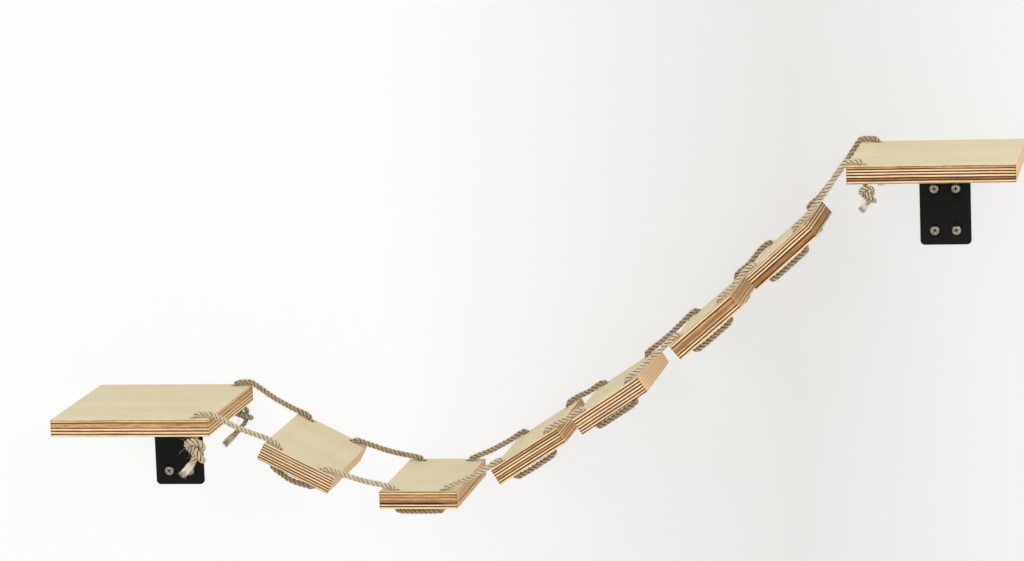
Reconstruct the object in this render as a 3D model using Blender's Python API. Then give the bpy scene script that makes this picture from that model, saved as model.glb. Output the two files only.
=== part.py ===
"""Cat wall bridge: two plywood shelves on steel brackets, and six planks hung between them on two jute ropes.

Metres, +Z up. X runs along the wall from the lower shelf to the upper one, and +Y points into the wall.
The wall is the plane Y = 0, and the origin is the middle of the lower bracket's wall face.
"""

import math

import bmesh
import bpy
import numpy as np
from mathutils import Matrix, Vector

# Boards
BOARD = 0.018
SHELF_WIDTH = 0.165
SHELF_DEPTH = 0.200
PLANK_LENGTH = 0.080
PLANK_DEPTH = 0.170
EDGE_EASE = 0.0008

# Where the shelves and planks hang. A plank's place is the middle of its top face, from the lower shelf's.
SHELF_RUN = 0.815
SHELF_RISE = 0.248
PLANKS = (
    (0.171, -0.046, -27.0),
    (0.292, -0.078, 0.0),
    (0.401, -0.035, 32.0),
    (0.485, 0.0165, 33.0),
    (0.582, 0.094, 40.0),
    (0.659, 0.164, 41.0),
)

# Ropes and the holes they pass through
ROPE = 0.006
ROPE_HOLE = 0.009
HOLE_FROM_SIDE = 0.009
PLANK_HOLE_FROM_END = 0.015
SHELF_HOLE_FROM_END = 0.017
HOLE_SIDES = 12
ROPE_LIFT = ROPE / 2 + 0.00045
SPAN_SAG = 0.03
ROPE_RESOLUTION = 2
ROUTE_STEPS = 2

# The rope's bend out of a hole, as steps along the board and heights over its face. Under a plank it is the same
MOUTH_BEND = ((0.0008, -0.0022), (0.0012, 0.0004), (0.0024, 0.0026), (0.0050, ROPE_LIFT))

# Its bend over a board's end, as steps past the end and down from its height over the face
END_BEND = ((-0.0020, -0.0001), (0.0015, 0.0003))

# How far the middle of the loop under each plank hangs off the plank
LOOP_SLACKS = (0.0020, 0.0004, 0.0006, 0.0003, 0.0004, 0.0003)

# Knots: a plain overhand knot drawn tight under the shelf, with a short tail
KNOT_SLACK = 0.0011
KNOT_POINTS = 90
KNOT_STEPS = 500
KNOT_TUBE_POINTS = 40
KNOT_HALF = 0.0121
KNOT_RADIUS = 0.0105
TAIL_POINTS = 5
TAIL_CURL = 1.3
HOLE_POINT = 0.75
TAIL_FROM = 0.75

# The loose knot that is drawn tight: a curve that crosses itself three times, by parameter
LOOSE_END = 2.12
LOOSE_CROSSINGS = (-1.932, -1.732, -0.518, 0.518, 1.732, 1.932)
LOOSE_SPREAD = 1.2 * ROPE
LOOSE_LIFT = 0.6 * ROPE
LOOSE_REACH = 5 * ROPE

# How it is drawn tight: the pull of a step and of the last ones, how often strands are pushed apart in a step,
# how strongly the knot is centred, and how far along the rope, in thicknesses, two points are two strands
PULL = 0.5
LAST_PULL = 0.1
LAST_PULL_FROM = 0.8
PUSHES = 3
CENTRING = 0.1
STRAND_REACH = 1.45
MEASURE_POINTS = 600
MEASURE_REACH = 1.7

# How each knot hangs: its turn about its hole and its tilt along the wall, in degrees, how thick the soft rope is
# in it, its tail's slopes along the wall and out from it, and its tail's length
KNOT_HANGS = {
    ("lower", "front"): (150, -6, 1.15, (-0.50, -0.05), 0.008),
    ("lower", "back"): (150, 26, 0.87, (-2.20, -0.10), 0.006),
    ("upper", "front"): (150, 8, 0.85, (-0.50, -0.02), 0.0005),
    ("upper", "back"): (110, 0, 0.8, (0.10, -0.08), 0.001),
}

# Brackets
STEEL = 0.003
BRACKET_WIDTH = 0.052
WALL_LEG = 0.089
SHELF_LEG = 0.125
BEND_INSIDE = 0.003
LEG_CORNER = 0.0045
BEND_STEPS = 5
CORNER_STEPS = 4

# Screws, as shank radius, head radius, head height and length under the head
WALL_SCREW = (0.0023, 0.0050, 0.0032, 0.038)
SHELF_SCREW = (0.0019, 0.0043, 0.0026, 0.016)
SCREW_SPREAD = 0.022
WALL_SCREW_DROPS = (0.031, 0.074)
SHELF_SCREW_REACHES = (0.040, 0.104)
SCREW_TIP = 0.007
SCREW_SIDES = 10
HEAD_RIM = 0.35
SCREW_CLEARANCE = 0.0006
PILOT_CLEARANCE = 0.0003

GAP = 0.0003

LOWER_TOP = BOARD + GAP + WALL_LEG / 2
SHELVES = {"lower": (0.0, LOWER_TOP, 1), "upper": (SHELF_RUN, LOWER_TOP + SHELF_RISE, -1)}
ROPE_SIDES = ("front", "back")
SHELF_ROPE_Y = {"front": -SHELF_DEPTH + HOLE_FROM_SIDE, "back": -HOLE_FROM_SIDE}
PLANK_FRONT_Y = -(SHELF_DEPTH + PLANK_DEPTH) / 2
PLANK_BACK_Y = -(SHELF_DEPTH - PLANK_DEPTH) / 2
PLANK_ROPE_Y = {"front": PLANK_FRONT_Y + HOLE_FROM_SIDE, "back": PLANK_BACK_Y - HOLE_FROM_SIDE}


def clear_scene():
    for old in list(bpy.data.objects):
        bpy.data.objects.remove(old)


def material(name, colour, roughness, metallic=0.0):
    made = bpy.data.materials.new(name)
    made.use_nodes = True
    shader = made.node_tree.nodes["Principled BSDF"]
    shader.inputs["Base Color"].default_value = (*colour, 1.0)
    shader.inputs["Roughness"].default_value = roughness
    shader.inputs["Metallic"].default_value = metallic
    return made


def add_object(name, data, finish, matrix=None):
    """Links an object of its own for that mesh or curve, with one material."""
    made = bpy.data.objects.new(name, data)
    bpy.context.scene.collection.objects.link(made)
    data.materials.append(finish)
    if matrix is not None:
        made.matrix_world = matrix
    return made


def mesh_from(bm, name):
    """Turns a bmesh into a mesh whose faces all point out."""
    bmesh.ops.recalc_face_normals(bm, faces=bm.faces[:])
    data = bpy.data.meshes.new(name)
    bm.to_mesh(data)
    bm.free()
    return data


def drilled(target, holes, matrix):
    """Cuts holes from the target. A hole is its axis' start and end, and its radius, in the target's frame."""
    bm = bmesh.new()
    for start, end, radius in holes:
        axis = Vector(end) - Vector(start)
        turn = axis.to_track_quat("Z", "X").to_matrix().to_4x4()
        place = Matrix.Translation((Vector(start) + Vector(end)) / 2) @ turn
        bmesh.ops.create_cone(
            bm,
            cap_ends=True,
            segments=HOLE_SIDES,
            radius1=radius,
            radius2=radius,
            depth=axis.length,
            matrix=place,
        )
    cutter = bpy.data.objects.new(target.name + "_drill", mesh_from(bm, target.name + "_drill"))
    bpy.context.scene.collection.objects.link(cutter)
    cutter.matrix_world = matrix
    cutter.hide_render = True
    cutter.display_type = "WIRE"
    cut = target.modifiers.new("drill", "BOOLEAN")
    cut.operation = "DIFFERENCE"
    cut.object = cutter


def board_mesh(name, length, depth):
    """A plywood board about its own middle, with its edges just eased."""
    bm = bmesh.new()
    bmesh.ops.create_cube(bm, size=1.0, matrix=Matrix.Diagonal((length, depth, BOARD, 1.0)))
    bmesh.ops.bevel(bm, geom=bm.edges[:], offset=EDGE_EASE, segments=2, profile=0.5, affect="EDGES")
    return mesh_from(bm, name)


def through_board(x, y, radius):
    """A hole right through a board."""
    return (x, y, -BOARD), (x, y, BOARD), radius


def shelf_hole_x(end):
    """Where a shelf's rope holes are, from its middle. end is the side the bridge leaves, 1 or -1."""
    return end * (SHELF_WIDTH / 2 - SHELF_HOLE_FROM_END)


def shelf_screw_places():
    """The bracket's screws into the shelf, across and out from the wall."""
    return [(side * SCREW_SPREAD / 2, -reach) for reach in SHELF_SCREW_REACHES for side in (-1, 1)]


def make_shelf(name, finish):
    x, top, end = SHELVES[name]
    middle = Matrix.Translation((x, -SHELF_DEPTH / 2, top - BOARD / 2))
    shelf = add_object(name + "_shelf", board_mesh(name + "_shelf", SHELF_WIDTH, SHELF_DEPTH), finish, middle)
    holes = [
        through_board(shelf_hole_x(end), y + SHELF_DEPTH / 2, ROPE_HOLE / 2) for y in SHELF_ROPE_Y.values()
    ]
    radius, _, _, length = SHELF_SCREW
    depth = length - STEEL + 2 * PILOT_CLEARANCE
    for across, out in shelf_screw_places():
        low = (across, out + SHELF_DEPTH / 2, -BOARD)
        high = (across, out + SHELF_DEPTH / 2, depth - BOARD / 2)
        holes.append((low, high, radius + PILOT_CLEARANCE))
    drilled(shelf, holes, middle)


def plank_matrix(number):
    """The frame of a plank: its origin is the middle of the board, which is the line it rocks about."""
    x, z, slope = PLANKS[number]
    turn = Matrix.Rotation(-math.radians(slope), 4, "Y")
    top = Matrix.Translation((x, (PLANK_FRONT_Y + PLANK_BACK_Y) / 2, LOWER_TOP + z))
    return top @ turn @ Matrix.Translation((0, 0, -BOARD / 2))


def make_plank(number, finish):
    name = f"plank_{number + 1}"
    frame = plank_matrix(number)
    plank = add_object(name, board_mesh(name, PLANK_LENGTH, PLANK_DEPTH), finish, frame)
    across = PLANK_LENGTH / 2 - PLANK_HOLE_FROM_END
    along = PLANK_DEPTH / 2 - HOLE_FROM_SIDE
    holes = [through_board(x, y, ROPE_HOLE / 2) for x in (-across, across) for y in (-along, along)]
    drilled(plank, holes, frame)


def arc(centre, radius, start, end, steps):
    """Points on an arc, angles in degrees, both ends included."""
    angles = [math.radians(start + (end - start) * i / steps) for i in range(steps + 1)]
    return [(centre[0] + radius * math.cos(a), centre[1] + radius * math.sin(a)) for a in angles]


def bracket_profile():
    """The bent strip's outline in Y and Z, from the middle of its wall face: wall leg down, shelf leg out."""
    top = WALL_LEG / 2
    outside = BEND_INSIDE + STEEL
    bend = (-outside, top - outside)
    return [
        (-STEEL, -WALL_LEG / 2),
        (0.0, -WALL_LEG / 2),
        *arc(bend, outside, 0, 90, BEND_STEPS),
        (-SHELF_LEG, top),
        (-SHELF_LEG, top - STEEL),
        *arc(bend, BEND_INSIDE, 90, 0, BEND_STEPS),
    ]


def bracket_mesh(name):
    """The outline extruded across the bracket's width, with its four leg corners rounded."""
    bm = bmesh.new()
    half = BRACKET_WIDTH / 2
    face = bm.faces.new([bm.verts.new((-half, y, z)) for y, z in bracket_profile()])
    pushed = bmesh.ops.extrude_face_region(bm, geom=[face])
    moved = [v for v in pushed["geom"] if isinstance(v, bmesh.types.BMVert)]
    bmesh.ops.translate(bm, verts=moved, vec=(BRACKET_WIDTH, 0, 0))
    corners = [e for e in bm.edges if is_leg_corner(e)]
    bmesh.ops.bevel(bm, geom=corners, offset=LEG_CORNER, segments=CORNER_STEPS, profile=0.5, affect="EDGES")
    return mesh_from(bm, name)


def is_leg_corner(edge):
    """True for the four short edges through the sheet at the free ends of the two legs."""
    a, b = (v.co for v in edge.verts)
    if abs(edge.calc_length() - STEEL) > GAP or abs(a.x - b.x) > GAP:
        return False
    at_bottom = max(a.z, b.z) < -WALL_LEG / 2 + GAP
    at_tip = max(a.y, b.y) < -SHELF_LEG + GAP
    return at_bottom or at_tip


def wall_screw_places():
    """The wall screws, across and up from the middle of the bracket's wall face."""
    return [(side * SCREW_SPREAD / 2, WALL_LEG / 2 - drop) for drop in WALL_SCREW_DROPS for side in (-1, 1)]


def bracket_middle(name):
    """The middle of a bracket's wall face."""
    x, top, _ = SHELVES[name]
    return Vector((x, 0.0, top - BOARD - GAP - WALL_LEG / 2))


def make_bracket(name, finish):
    frame = Matrix.Translation(bracket_middle(name))
    bracket = add_object(name + "_bracket", bracket_mesh(name + "_bracket"), finish, frame)
    wall_radius = WALL_SCREW[0] + SCREW_CLEARANCE
    shelf_radius = SHELF_SCREW[0] + SCREW_CLEARANCE
    top = WALL_LEG / 2
    holes = [((x, -2 * STEEL, z), (x, STEEL, z), wall_radius) for x, z in wall_screw_places()]
    holes += [((x, y, top - 2 * STEEL), (x, y, top + STEEL), shelf_radius) for x, y in shelf_screw_places()]
    drilled(bracket, holes, frame)


def screw_profile(size):
    """A pan-head screw's half outline as radius and height. Its head sits on height 0 and the shank runs down."""
    shank, head, height, length = size
    shoulder = math.radians(50)
    return [
        (0.0, height),
        (head * math.cos(shoulder), height * (HEAD_RIM + (1 - HEAD_RIM) * math.sin(shoulder))),
        (head, height * HEAD_RIM),
        (head, 0.0),
        (shank, 0.0),
        (shank, SCREW_TIP - length),
        (0.0, -length),
    ]


def screw_mesh(name, size):
    """One screw, its outline spun into a closed shape."""
    bm = bmesh.new()
    profile = [bm.verts.new((radius, 0.0, z)) for radius, z in screw_profile(size)]
    edges = [bm.edges.new(pair) for pair in zip(profile, profile[1:])]
    bmesh.ops.spin(
        bm,
        geom=profile + edges,
        cent=(0, 0, 0),
        axis=(0, 0, 1),
        angle=math.tau,
        steps=SCREW_SIDES,
        use_duplicate=False,
    )
    bmesh.ops.remove_doubles(bm, verts=bm.verts[:], dist=0.00001)
    return mesh_from(bm, name)


def make_screws(name, size, places, finish):
    """Like screws that share a mesh. Each place is where the head seats and the way the shank points."""
    shared = screw_mesh(name, size)
    for number, (seat, way) in enumerate(places, 1):
        turn = (-Vector(way)).to_track_quat("Z", "X").to_matrix().to_4x4()
        screw = bpy.data.objects.new(f"{name}_{number}", shared)
        bpy.context.scene.collection.objects.link(screw)
        screw.matrix_world = Matrix.Translation(seat) @ turn
    shared.materials.append(finish)


def make_bracket_screws(name, finish):
    middle = bracket_middle(name)
    wall = [(middle + Vector((x, -STEEL - GAP, z)), (0, 1, 0)) for x, z in wall_screw_places()]
    under = WALL_LEG / 2 - STEEL - GAP
    shelf = [(middle + Vector((x, y, under)), (0, 0, 1)) for x, y in shelf_screw_places()]
    make_screws(name + "_wall_screw", WALL_SCREW, wall, finish)
    make_screws(name + "_shelf_screw", SHELF_SCREW, shelf, finish)


def smooth_route(points):
    """A smooth curve through the route's own points. Its two ends stay straight."""
    route = np.array(points, float)
    lengths = np.linalg.norm(np.diff(route, axis=0), axis=1)
    slopes = (route[2:] - route[:-2]) / (lengths[1:] + lengths[:-1])[:, None]
    line = [route[0]]
    for a, b, slope_a, slope_b, length in zip(route[1:], route[2:], slopes, slopes[1:], lengths[1:]):
        for t in np.linspace(0, 1, ROUTE_STEPS, endpoint=False):
            bow = slope_a * (1 - t) - slope_b * t
            line.append(a + (b - a) * t**2 * (3 - 2 * t) + bow * length * t * (1 - t))
    return np.array([*line, route[-2], route[-1]])


def spaced(points, count):
    """The same line with count points, evenly apart. A fourth column, the rope's thickness, goes along."""
    steps = np.linalg.norm(np.diff(points[:, :3], axis=0), axis=1)
    along = np.concatenate([[0.0], np.cumsum(steps)])
    at = np.linspace(0.0, along[-1], count)
    return np.stack([np.interp(at, along, column) for column in points.T], axis=1)


def make_rope(name, points, finish):
    """One length of rope: a round tube along the points, closed at both ends.
    A point may hold its thickness, as a share of the rope's, after its place."""
    curve = bpy.data.curves.new(name, "CURVE")
    curve.dimensions = "3D"
    curve.bevel_depth = ROPE / 2
    curve.bevel_resolution = ROPE_RESOLUTION
    curve.use_fill_caps = True
    spline = curve.splines.new("POLY")
    spline.points.add(len(points) - 1)
    for point, place in zip(spline.points, points):
        point.co = (*place[:3], 1.0)
        point.radius = place[3] if len(place) > 3 else 1.0
    add_object(name, curve, finish)


def board_end(number, end, side):
    """The board at one end of a span: its top face's frame, its hole's and its end's place along that face, and
    the rope's Y. number 0 is the lower shelf and the last one the upper shelf."""
    if number in (0, len(PLANKS) + 1):
        x, top, bridge_end = SHELVES["lower" if number == 0 else "upper"]
        frame = (Vector((x, 0, top)), Vector((1, 0, 0)), Vector((0, 0, 1)))
        return frame, shelf_hole_x(bridge_end), bridge_end * SHELF_WIDTH / 2, SHELF_ROPE_Y[side]
    x, z, slope = PLANKS[number - 1]
    lean = math.radians(slope)
    along = Vector((math.cos(lean), 0, math.sin(lean)))
    normal = Vector((-math.sin(lean), 0, math.cos(lean)))
    frame = (Vector((x, 0, LOWER_TOP + z)), along, normal)
    hole = end * (PLANK_LENGTH / 2 - PLANK_HOLE_FROM_END)
    return frame, hole, end * PLANK_LENGTH / 2, PLANK_ROPE_Y[side]


def on_board(board, along, up):
    """A point over a board's top face: along it and up from it, on the rope's line."""
    (middle, way, normal), _, _, y = board
    point = middle + way * along + normal * up
    point.y = y
    return point


def mouth_points(board):
    """The rope's way out of a hole: halfway up the hole, near its mouth, and just over the face."""
    _, hole, end, _ = board
    out = math.copysign(1.0, end)
    inside = [on_board(board, hole, up) for up in (-BOARD / 2 + GAP / 2, -BOARD / 4)]
    return inside + [on_board(board, hole + out * along, up) for along, up in MOUTH_BEND]


def end_points(board):
    """The rope's bend over a board's end, from the hole's side outwards."""
    end = board[2]
    out = math.copysign(1.0, end)
    return [on_board(board, end + out * past, ROPE_LIFT - down) for past, down in END_BEND]


def span_points(first, side):
    """The rope from board number first to the next one: out of a hole, over the gap, and into the next hole.
    It bends over a board's end where that end stands in its way."""
    a = board_end(first, 1, side)
    b = board_end(first + 1, -1, side)
    leave, arrive = mouth_points(a), mouth_points(b)
    if above(on_board(a, a[2], ROPE_LIFT), leave[-1], arrive[-1]):
        leave += end_points(a)
    if above(on_board(b, b[2], ROPE_LIFT), leave[-1], arrive[-1]):
        arrive += end_points(b)
    drop = (arrive[-1] - leave[-1]).length * SPAN_SAG
    middle = (leave[-1] + arrive[-1]) / 2 - Vector((0, 0, drop))
    return smooth_route([*leave, middle, *reversed(arrive)])


def above(point, start, end):
    """True where a board's end reaches the sagging way from start to end, so the rope bends over it."""
    share = (point.x - start.x) / (end.x - start.x)
    sag = (end - start).length * SPAN_SAG * 4 * share * (1 - share)
    return point.z + 2 * GAP > start.z + share * (end.z - start.z) - sag


def loop_points(number, side):
    """The rope under a plank: down one hole, slack along the underside, and up the other hole."""
    board = board_end(number, 1, side)
    hole = board[1]
    half = [(hole, -BOARD / 2 - GAP / 2), (hole, -BOARD * HOLE_POINT)]
    half += [(hole - along, -BOARD - up) for along, up in MOUTH_BEND]
    right = [on_board(board, along, up) for along, up in half]
    left = [on_board(board, -along, up) for along, up in reversed(half)]
    middle = on_board(board, 0, -BOARD - ROPE_LIFT - LOOP_SLACKS[number - 1])
    return smooth_route([*right, middle, *left])


def tight_knot():
    """The line of an overhand knot with its ends on the X axis, drawn tight.
    A loose trefoil is shortened step by step, and strands closer than the rope is thick are pushed apart."""
    t = np.linspace(-LOOSE_END, LOOSE_END, 4 * KNOT_POINTS)
    passed = np.interp(t, LOOSE_CROSSINGS, range(len(LOOSE_CROSSINGS)))
    over_and_under = -LOOSE_LIFT * np.cos(np.pi * passed)
    loose = np.stack([LOOSE_SPREAD * (t**3 - 3 * t), LOOSE_SPREAD * (t**4 - 4 * t**2), over_and_under], 1)
    line = spaced(np.vstack([[-LOOSE_REACH, 0, 0], loose, [LOOSE_REACH, 0, 0]]), KNOT_POINTS)
    index = np.arange(KNOT_POINTS)
    apart = np.abs(index[:, None] - index[None])
    window = np.clip(np.minimum(index, KNOT_POINTS - 1 - index) / (KNOT_POINTS / 4), 0, 1)
    core = slice(KNOT_POINTS // 3, KNOT_POINTS - KNOT_POINTS // 3)
    for step in range(KNOT_STEPS):
        pull = PULL if step < LAST_PULL_FROM * KNOT_STEPS else LAST_PULL
        line[1:-1] += pull * ((line[:-2] + line[2:]) / 2 - line[1:-1])
        for _ in range(PUSHES):
            line += pushed_apart(line, apart)
        line -= window[:, None] * line[core].mean(0) * CENTRING
        line = spaced(line, KNOT_POINTS)
    return line


def pushed_apart(line, apart):
    """How each point moves to keep strands a rope's thickness and a little slack apart."""
    least = ROPE + KNOT_SLACK
    spacing = np.linalg.norm(np.diff(line, axis=0), axis=1).mean()
    between = line[:, None] - line[None]
    distance = np.linalg.norm(between, axis=2)
    close = (apart * spacing > STRAND_REACH * least) & (distance < least)
    push = np.where(close, (least - distance) / 2 / np.maximum(distance, 1e-9), 0.0)
    move = (push[..., None] * between).sum(1) / np.maximum(close.sum(1), 1)[:, None]
    move[[0, -1]] = 0.0
    return move


def least_gap(line, thickness=1.0):
    """The least clear distance between two strands of a tube along the line."""
    fine = spaced(line[:, :3], MEASURE_POINTS)
    spacing = np.linalg.norm(np.diff(fine, axis=0), axis=1).mean()
    distance = np.linalg.norm(fine[:, None] - fine[None], axis=2)
    index = np.arange(len(fine))
    strands = np.abs(index[:, None] - index[None]) * spacing > MEASURE_REACH * ROPE * thickness
    return distance[strands].min() - ROPE * thickness


def knot_points(knot, name, side):
    """A knot hung under a shelf's hole: from halfway down the hole, through the knot, to the end of its tail."""
    turn, tilt, squeeze, lean, tail = KNOT_HANGS[name, side]
    x, top, end = SHELVES[name]
    half = squeeze * KNOT_HALF
    middle = BOARD + half + squeeze * KNOT_RADIUS * abs(math.sin(math.radians(tilt)))
    inside = squeeze * knot[np.abs(knot[:, 0]) < KNOT_HALF + ROPE / 2]
    hole = [BOARD / 2 + GAP / 2, BOARD * HOLE_POINT]
    last = inside[-1, 0] + middle
    depth = np.concatenate([hole, inside[:, 0] + middle, np.linspace(last, last + tail, TAIL_POINTS + 1)[1:]])
    sides = np.vstack([np.zeros((len(hole), 2)), inside[:, 1:], np.zeros((TAIL_POINTS, 2))])
    angle = math.radians(turn)
    across = sides @ np.array([[math.cos(angle), math.sin(angle)], [-math.sin(angle), math.cos(angle)]])
    hang = tail * np.clip((depth - middle - half * TAIL_FROM) / tail, 0, None) ** TAIL_CURL
    along = across[:, 0] + lean[0] * hang
    out = across[:, 1] + lean[1] * hang
    angle = math.radians(tilt) * np.clip((depth - BOARD) / ROPE + 0.5, 0, 1)
    below = depth - BOARD
    tilted_along = along * np.cos(angle) + below * np.sin(angle)
    tilted_below = below * np.cos(angle) - along * np.sin(angle)
    hole_x, hole_y = x + shelf_hole_x(end), SHELF_ROPE_Y[side]
    in_knot = np.clip((half + ROPE / 2 - np.abs(depth - middle)) / (ROPE / 2), 0, 1)
    thickness = 1 - (1 - squeeze) * in_knot
    line = np.stack([hole_x + tilted_along, hole_y + out, top - BOARD - tilted_below, thickness], axis=1)
    return spaced(line, KNOT_TUBE_POINTS)


def make_ropes(finish):
    for side in ROPE_SIDES:
        for first in range(len(PLANKS) + 1):
            make_rope(f"{side}_rope_span_{first + 1}", span_points(first, side), finish)
        for number in range(1, len(PLANKS) + 1):
            make_rope(f"{side}_rope_loop_{number}", loop_points(number, side), finish)


def make_knots(finish):
    knot = tight_knot()
    for name, side in KNOT_HANGS:
        points = knot_points(knot, name, side)
        make_rope(f"{name}_{side}_knot", points, finish)
        gap = least_gap(points, KNOT_HANGS[name, side][2])
        print(f"least gap in the {name} {side} knot, mm: {1000 * gap:.2f}")


def build():
    clear_scene()
    plywood = material("birch_plywood", (0.76, 0.62, 0.42), 0.55)
    jute = material("jute_rope", (0.60, 0.49, 0.34), 0.9)
    coated_steel = material("black_coated_steel", (0.012, 0.012, 0.013), 0.5)
    zinc = material("zinc_screw", (0.62, 0.60, 0.55), 0.32, 1.0)
    for name in SHELVES:
        make_shelf(name, plywood)
        make_bracket(name, coated_steel)
        make_bracket_screws(name, zinc)
    for number in range(len(PLANKS)):
        make_plank(number, plywood)
    make_ropes(jute)
    make_knots(jute)


build()
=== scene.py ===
from math import copysign, cos, hypot, pi, radians, sin, tau

import bpy
import numpy as np
from mathutils import Matrix, Vector


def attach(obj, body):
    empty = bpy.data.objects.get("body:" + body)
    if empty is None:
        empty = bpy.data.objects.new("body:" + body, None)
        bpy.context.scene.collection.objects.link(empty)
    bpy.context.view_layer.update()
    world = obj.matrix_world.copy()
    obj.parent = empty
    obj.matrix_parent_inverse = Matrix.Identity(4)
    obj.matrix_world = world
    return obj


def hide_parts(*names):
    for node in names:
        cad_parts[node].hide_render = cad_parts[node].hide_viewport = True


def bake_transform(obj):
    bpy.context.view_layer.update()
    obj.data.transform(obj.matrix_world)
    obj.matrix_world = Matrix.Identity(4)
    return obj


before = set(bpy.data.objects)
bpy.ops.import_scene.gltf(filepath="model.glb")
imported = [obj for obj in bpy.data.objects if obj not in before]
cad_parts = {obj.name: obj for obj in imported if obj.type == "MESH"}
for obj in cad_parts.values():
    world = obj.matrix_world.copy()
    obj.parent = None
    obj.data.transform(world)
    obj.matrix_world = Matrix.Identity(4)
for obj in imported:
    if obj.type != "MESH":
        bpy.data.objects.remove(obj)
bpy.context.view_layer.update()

# Cat wall bridge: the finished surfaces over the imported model. Metres, +Z up. X runs along the wall, which is the
# plane Y = 0. The sizes of the boards, ropes, knots, brackets and screws are the model's.


def linear(red, green, blue):
    """A colour as an eye would name it, from 0 to 255, as the light that the shader works with."""
    shares = [channel / 255 for channel in (red, green, blue)]
    return tuple(share / 12.92 if share < 0.04045 else ((share + 0.055) / 1.055) ** 2.4 for share in shares)


UPRIGHT = (pi / 2, 0, 0)
TINY = 1e-5

# Boards, and where they hang: the middle of a plank's top face, from the lower shelf's, and its slope in degrees
BOARD = 0.018
SHELF_WIDTH = 0.165
SHELF_DEPTH = 0.200
PLANK_LENGTH = 0.080
PLANK_DEPTH = 0.170
SHELF_RUN = 0.815
SHELF_RISE = 0.248
PLANKS = (
    (0.171, -0.046, -27.0),
    (0.292, -0.078, 0.0),
    (0.401, -0.035, 32.0),
    (0.485, 0.0165, 33.0),
    (0.582, 0.094, 40.0),
    (0.659, 0.164, 41.0),
)

# Ropes and the holes they pass through
ROPE = 0.006
ROPE_HOLE = 0.009
HOLE_SIDES = 36
HOLE_FROM_SIDE = 0.009
PLANK_HOLE_FROM_END = 0.015
SHELF_HOLE_FROM_END = 0.017
ROPE_LIFT = ROPE / 2 + 0.00045
SPAN_SAG = 0.03
ROUTE_STEPS = 8

# The rope's bend out of a hole, as steps along the board and heights over its face, and over a board's end, as
# steps past the end and down from its height over the face
MOUTH_BEND = ((0.0008, -0.0022), (0.0012, 0.0004), (0.0024, 0.0026), (0.0050, ROPE_LIFT))
END_BEND = ((-0.0020, -0.0001), (0.0015, 0.0003))

# How far the middle of the loop under each plank hangs off the plank. The first hangs 1 mm lower than the model's
LOOP_SLACKS = (0.0030, 0.0004, 0.0006, 0.0003, 0.0004, 0.0003)

# Knots: a loose one is a curve that crosses itself three times, by parameter. It is drawn tight step by step
KNOT_SLACK = 0.0011
KNOT_POINTS = 90
KNOT_STEPS = 500
KNOT_HALF = 0.0121
KNOT_RADIUS = 0.0105
LOOSE_END = 2.12
LOOSE_CROSSINGS = (-1.932, -1.732, -0.518, 0.518, 1.732, 1.932)
LOOSE_SPREAD = 1.2 * ROPE
LOOSE_LIFT = 0.6 * ROPE
LOOSE_REACH = 5 * ROPE

# A step's pull and the last ones', how often it pushes strands apart, how strongly it centres the knot, and how
# far along the rope, in thicknesses, two points are two strands
PULL, LAST_PULL, LAST_PULL_FROM = 0.5, 0.1, 0.8
PUSHES = 3
CENTRING = 0.1
STRAND_REACH = 1.45

TAIL_POINTS = 5
TAIL_CURL = 1.3
TAIL_FROM = 0.75
HOLE_POINT = 0.75

# Each knot's turn and tilt in degrees, its size, its tail's slopes along the wall and out from it, and its length
KNOT_HANGS = {
    ("lower", "front"): (150, -6, 1.15, (-0.50, -0.05), 0.008),
    ("lower", "back"): (150, 26, 0.87, (-2.20, -0.10), 0.006),
    ("upper", "front"): (150, 8, 0.85, (-0.50, -0.02), 0.0005),
    ("upper", "back"): (110, 0, 0.8, (0.10, -0.08), 0.001),
}

# Brackets, and screws as shank radius, head radius, head height and length under the head
STEEL = 0.003
BRACKET_WIDTH = 0.052
WALL_LEG = 0.089
SHELF_LEG = 0.125
BEND_INSIDE = 0.003
LEG_CORNER = 0.0045
STEEL_EDGE = 0.00035
WALL_SCREW = (0.0023, 0.0050, 0.0032, 0.038)
SHELF_SCREW = (0.0019, 0.0043, 0.0026, 0.016)
SCREW_SPREAD = 0.022
WALL_SCREW_STEPS = (WALL_LEG / 2 - 0.031, WALL_LEG / 2 - 0.074)
SHELF_SCREW_STEPS = (-0.040, -0.104)
SCREW_TIP = 0.007
SCREW_CLEARANCE = 0.0006
GAP = 0.0003

# A screw's dome and cross slots as shares of its head, and its core, pitch and thread as shares of its shank. The
# thread's section is given as places out from the shank's middle and up by the pitch
DOME = 0.62
SLOT = (1.24, 0.30, 1.5)
SLOT_FOOT = 0.60
CORE = 0.76
PITCH = 0.72
THREAD = ((0.66, 0.42), (1.0, 0.0), (0.66, -0.42))
THREAD_FROM = 0.10
THREAD_REACH = 0.86
THREAD_STEPS = 14

# How thick a screw still is at its point, as a share
LEAST_TIP = 0.04

# The recess, where shade is painted in: its depths as shares of the head's height, its reach and its middle as
# shares of the head, and how much painted shade its middle has
RECESS_DEPTHS = (0.02, 0.55)
RECESS_REACH, RECESS_MIDDLE, MIDDLE_SHADE = 0.60, 0.16, 0.75

LOWER_TOP = BOARD + GAP + WALL_LEG / 2
SHELVES = {"lower": (0.0, LOWER_TOP, 1), "upper": (SHELF_RUN, LOWER_TOP + SHELF_RISE, -1)}
SHELF_ROPE_Y = {"front": -SHELF_DEPTH + HOLE_FROM_SIDE, "back": -HOLE_FROM_SIDE}
PLANK_FRONT_Y = -(SHELF_DEPTH + PLANK_DEPTH) / 2
PLANK_BACK_Y = -(SHELF_DEPTH - PLANK_DEPTH) / 2
PLANK_ROPE_Y = {"front": PLANK_FRONT_Y + HOLE_FROM_SIDE, "back": PLANK_BACK_Y - HOLE_FROM_SIDE}
LAST_BOARD = len(PLANKS) + 1

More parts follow.
